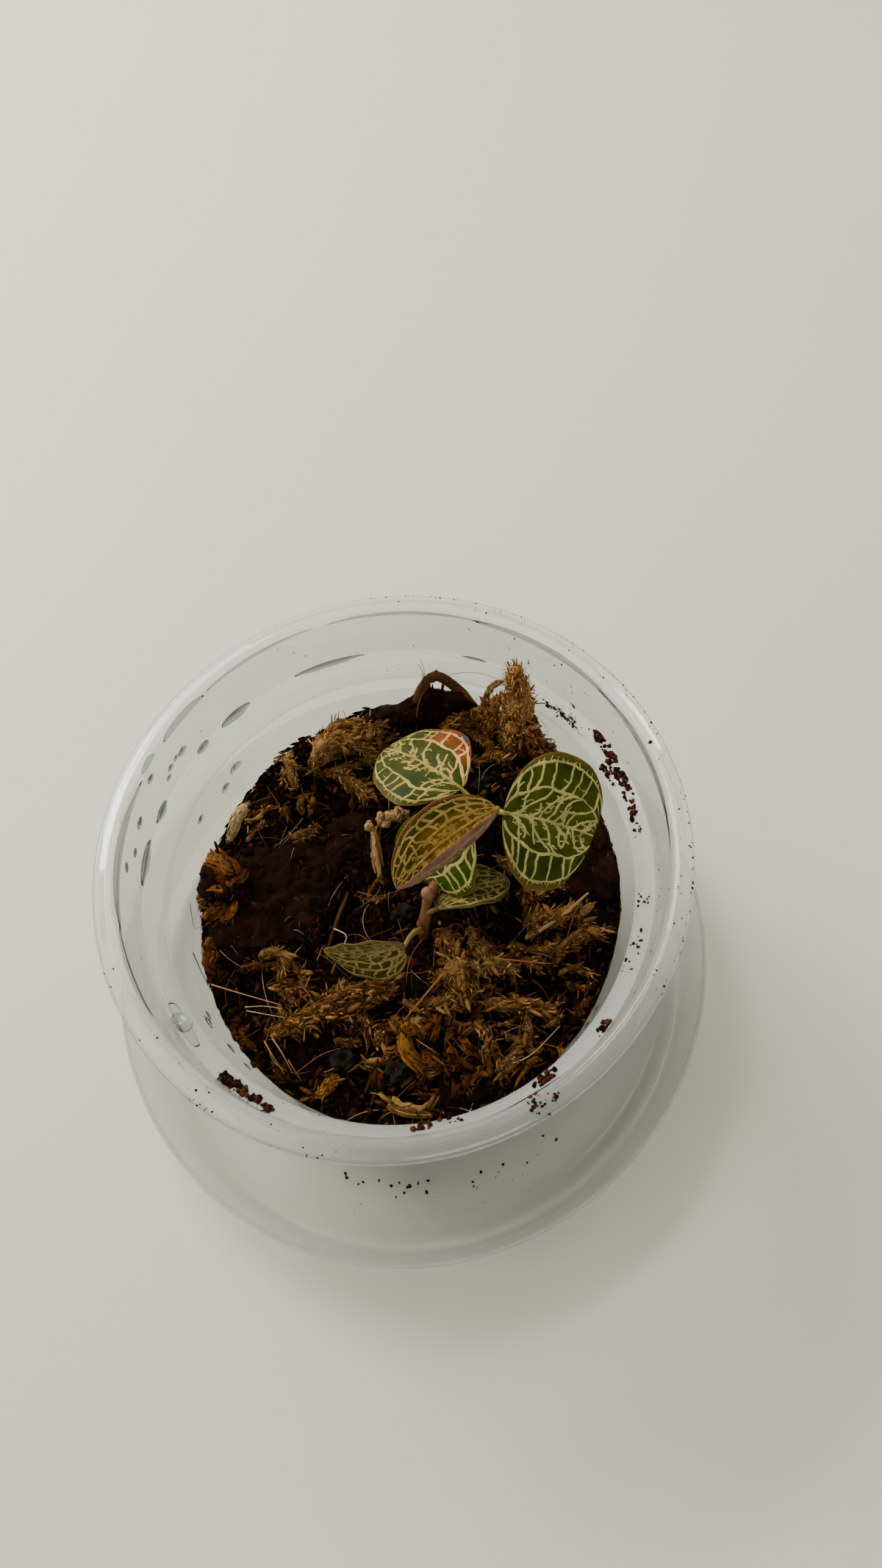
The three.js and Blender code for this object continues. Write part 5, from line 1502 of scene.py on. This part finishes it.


# Clear water, and water tinted grey and dark: the grey and dark tints are painted shade standing in for the
# dark look of the films and small drops.
CLEAR_WATER, GREY_SHADED_WATER, DARK_SHADED_WATER = (0.86, 0.88, 0.90), (0.60, 0.62, 0.66), (0.42, 0.44, 0.48)
FILMS = [  # films of water on the inside of the cup, tinted grey and dark as painted shade: thickness, tint, and angles and heights from and to
    (0.5, DARK_SHADED_WATER, [
        (89, 107, 60.8, 62.6), (119.5, 128.5, 60.6, 63.2), (132.5, 137, 60.7, 63.0), (57.5, 64, 60.9, 61.8),
        (150, 156, 60.8, 63.4), (160, 171, 60.8, 64.0)]),
    (0.1, GREY_SHADED_WATER, [
        (-16, 26, 73.5, 75.5), (22, 62, 73.9, 75.5), (58, 97, 74.5, 75.4), (100, 128, 74.7, 75.5),
        (128, 143, 74.0, 75.7), (152, 186, 73.4, 75.7), (184, 206, 74.0, 75.6), (146, 151, 74.6, 76.0)]),
]
DROPS = [  # angle, height and half-width
    (139.7, 66.9, 1.4), (142, 67.4, 0.9), (144.5, 67.1, 1.0), (146.2, 65.6, 0.9), (170.4, 70.7, 1.1),
    (165.8, 67.8, 1.0), (159.5, 69.1, 1.3), (150.2, 71.8, 1.2), (131.5, 51.8, 1.9), (136.9, 49.7, 1.4),
    (148.3, 51.6, 1.1), (-151.5, 42.0, 1.3), (-145.7, 40.5, 1.2), (-156.6, 59.6, 2.2), (-43.5, 41.6, 1.2),
    (-48.0, 40.9, 1.1), (-158, 48, 1.6), (-161, 44.5, 1.1),
]
SMEARS = [  # as FILMS, drawn after the drops; the grey ones are tinted with painted shade
    (0.05, (0.97, 0.97, 0.97), [(157, 163, 75.6, 76.4), (-162, -150, 58.4, 60.6)]),
    (0.3, GREY_SHADED_WATER, [(-114, -100, 64.5, 72.5), (-99, -94, 66, 73.5), (-84, -66, 70, 73.6)]),
]


def film(shape, rng, thickness, tint, first, last, low, high):
    """A film on the wall between two angles about Z, in degrees, and two heights."""
    spokes, shares = 40, (0.08, 0.35, 0.6, 0.8, 0.93, 1.0)
    around = np.linspace(0, 2 * np.pi, spokes, endpoint=False)
    wobble = 1 + 0.12 * noise(np.cos(around) * 1.6 + rng.uniform(0, 99), np.sin(around) * 1.6, 4)
    verts = []
    for bulge, shares in ((thickness, shares), (0, shares[::-1])):
        for share in shares:
            u, v = share * wobble * np.cos(around), share * wobble * np.sin(around)
            angle = np.radians((first + last) / 2 + u * (last - first) / 2)
            z = (low + high) / 2 + v * (high - low) / 2
            out, slope = wall_at(z)
            lift = 0.03 + bulge * (1 - share**2)
            verts.append(polar(out - lift * np.cos(slope), angle, z + lift * np.sin(slope)))
    rows = len(verts)
    faces = grid_faces(rows, spokes, wrap=True)
    faces.append(tuple(range(spokes))[::-1])
    faces.append(tuple(range((rows - 1) * spokes, rows * spokes)))
    shape.add(np.vstack(verts), faces, tint)


def add_water():
    """Drops and films of water on the inside of the cup."""
    rng = np.random.default_rng(SEED + 700)
    shape = Shape()
    for thickness, tint, places in FILMS:
        for place in places:
            film(shape, rng, thickness, tint, *place)
    for angle, z, size in DROPS:
        wide, high = math.degrees(size / wall_at(z)[0]), 0.85 * size
        # Small drops are tinted grey as painted shade; larger ones stay clear.
        tint = GREY_SHADED_WATER if size < 1.5 else CLEAR_WATER
        film(shape, rng, 0.3 * size, tint, angle - wide, angle + wide, z - high, z + high)
    for thickness, tint, places in SMEARS:
        for place in places:
            film(shape, rng, thickness, tint, *place)
    shape.piece("water_drops", water_surface(), "clear_plastic")


CLINGING = (  # crumbs on the inner wall: angle, lowest, highest, count, spread of the angle, sizes
    (22.3, 60.2, 61.6, 34, 1.0, (0.25, 0.75)), (16.8, 59.6, 61.6, 34, 1.3, (0.25, 0.7)),
    (14.6, 57.6, 59.6, 30, 1.5, (0.25, 0.7)), (12.0, 59.0, 60.6, 20, 1.2, (0.25, 0.6)),
    (8.7, 58.8, 60.4, 26, 1.3, (0.2, 0.6)), (5.0, 58.6, 60.0, 14, 1.4, (0.2, 0.5)),
    (1.9, 58.4, 59.6, 20, 0.9, (0.2, 0.6)), (-2.8, 58.2, 59.4, 9, 0.6, (0.2, 0.5)),
    (-51.6, 59.0, 60.4, 24, 0.9, (0.2, 0.6)), (-68.1, 57.8, 59.2, 30, 1.2, (0.25, 0.7)),
    (-95.4, 57.0, 58.4, 22, 1.4, (0.2, 0.6)), (-89.0, 57.0, 58.4, 8, 1.0, (0.15, 0.4)),
    (-138.8, 59.4, 61.2, 34, 1.3, (0.25, 0.8)), (-135.5, 59.4, 61.0, 24, 1.3, (0.25, 0.8)),
    (-132.5, 59.2, 60.6, 24, 1.2, (0.25, 0.7)), (-129.4, 59.6, 60.8, 16, 0.8, (0.2, 0.6)),
    (46.3, 67, 68, 3, 0.3, (0.15, 0.3)), (50.6, 73, 74, 3, 0.3, (0.15, 0.3)),
    (32.4, 61.8, 62.4, 4, 0.3, (0.15, 0.35)), (-20, 57.6, 59.8, 9, 1.5, (0.15, 0.45)),
    (-30, 57.4, 59.4, 14, 1.0, (0.15, 0.5)), (-36, 57.4, 59.4, 8, 1.5, (0.15, 0.4)),
    (0, 58, 75, 70, 32, (0.07, 0.2)), (95, 58, 75, 26, 22, (0.07, 0.2)), (-150, 57, 75, 26, 26, (0.07, 0.18)),
)
# Clumps of crumbs on the rim: angle, radius, count and spread.
RIM_CLUMPS = ((-74.5, 55.9, 24, 0.9), (9.0, 55.4, 6, 0.4), (-71, 56.3, 9, 0.6))
TWIG = [(36.0, 33.0, 57.6), (39.0, 31.8, 58.6), (41.6, 28.6, 58.9), (44.2, 24.0, 58.7)]


def add_specks(shape, rng):
    """Crumbs along the rim, in single specks and in clumps."""
    count = 190
    near = rng.random(count) < 0.75
    turn = np.radians(np.where(near, rng.uniform(-50, 85, count), rng.uniform(190, 250, count)))
    out = np.where(rng.random(count) < 0.6, rng.uniform(57.6, 58.3, count), rng.uniform(55.0, 57.6, count))
    z = np.interp(out, (55.0, 58.0, 58.5), (76.55, 75.6, 74.8)) + 0.02
    size = rng.uniform(0.07, 0.24, count)
    scatter_crumbs(shape, rng, polar(out, turn, z), size, pick(rng, CRUMB_TINTS[:3], count))
    for angle, out, count, wide in RIM_CLUMPS:
        place = polar(out, math.radians(angle), 76.2) + rng.normal(0, wide, (count, 3)) * (1, 1, 0)
        reach = np.hypot(place[:, 0], place[:, 1])
        place[:, 2] = np.interp(reach, (53.8, 55.0, 58.0, 58.5), (75.3, 76.7, 75.7, 74.9))
        size = rng.uniform(0.15, 0.4, count)
        scatter_crumbs(shape, rng, place, size, pick(rng, CRUMB_TINTS, count))


def add_twig(shape, rng):
    """A crumb-laden twig against the wall at the back right, with side twigs."""
    twig = smooth_path(TWIG, 30)
    tube(shape, twig, 0.13, (0.05, 0.02, 0.01), 5)
    count = 60
    place = twig[rng.integers(8, 30, count)] + rng.normal(0, 0.42, (count, 3))
    size = rng.uniform(0.12, 0.42, count)
    scatter_crumbs(shape, rng, place, size, pick(rng, CRUMB_TINTS, count))
    for _ in range(7):
        start = twig[rng.integers(18, 30)]
        end = start + rng.normal(0, 1.6, 3) * (1, 1, 0.4)
        middle = (start + end) / 2 + rng.normal(0, 0.3, 3)
        tube(shape, smooth_path([start, middle, end], 8), 0.07, (0.06, 0.03, 0.015), 4)


def add_debris(bark):
    """Peat crumbs that cling to the cup and lie in the saucer."""
    rng = np.random.default_rng(SEED + 750)
    shape = Shape()
    for angle, low, high, count, spread, sizes in CLINGING:
        turn = np.radians(angle + rng.normal(0, spread, count))
        z = np.clip(rng.normal((low + high) / 2, (high - low) / 2.2, count), low, high)
        out, slope = wall_at(z)
        size = rng.uniform(*sizes, count)
        centres = polar(out - 0.5 * size * np.cos(slope), turn, z + 0.5 * size * np.sin(slope))
        scatter_crumbs(shape, rng, centres, size, pick(rng, CRUMB_TINTS, count))
    add_specks(shape, rng)
    count = 46  # crumbs that fell into the saucer
    turn = np.radians(rng.uniform(-122, -64, count))
    out = 50 + np.abs(rng.normal(0, 3.4, count))
    size = rng.uniform(0.12, 0.5, count) * np.where(out < 53.5, 1, 0.5)
    place = polar(out, turn, SAUCER_FLOOR + size * 0.6)
    scatter_crumbs(shape, rng, place, size, pick(rng, CRUMB_TINTS[:3], count))
    add_twig(shape, rng)
    shape.piece("debris_crumbs", bark, "growing_mix")


add_camera()
add_stage()
add_vessels()
add_leaves()
add_stem()
add_peat()
bark = grainy("bark_dark", 1300, 0.5, 0.0003, 0.8)
moss = grainy("moss_dry", 1600, 0.5, 0.0002, 0.9)
stone = grainy("stone_grey", 900, 0.4, 0.00015, 0.6)
add_moss(moss)
add_chips(bark, stone)
add_sticks(bark, moss)
add_curls(bark)
add_crumbs(bark)
add_edge_shreds(bark)
add_side_shreds(bark)
add_roots(grainy("root_skin", 1500, 0.2, 0.00004, 0.6))
add_debris(bark)
add_water()
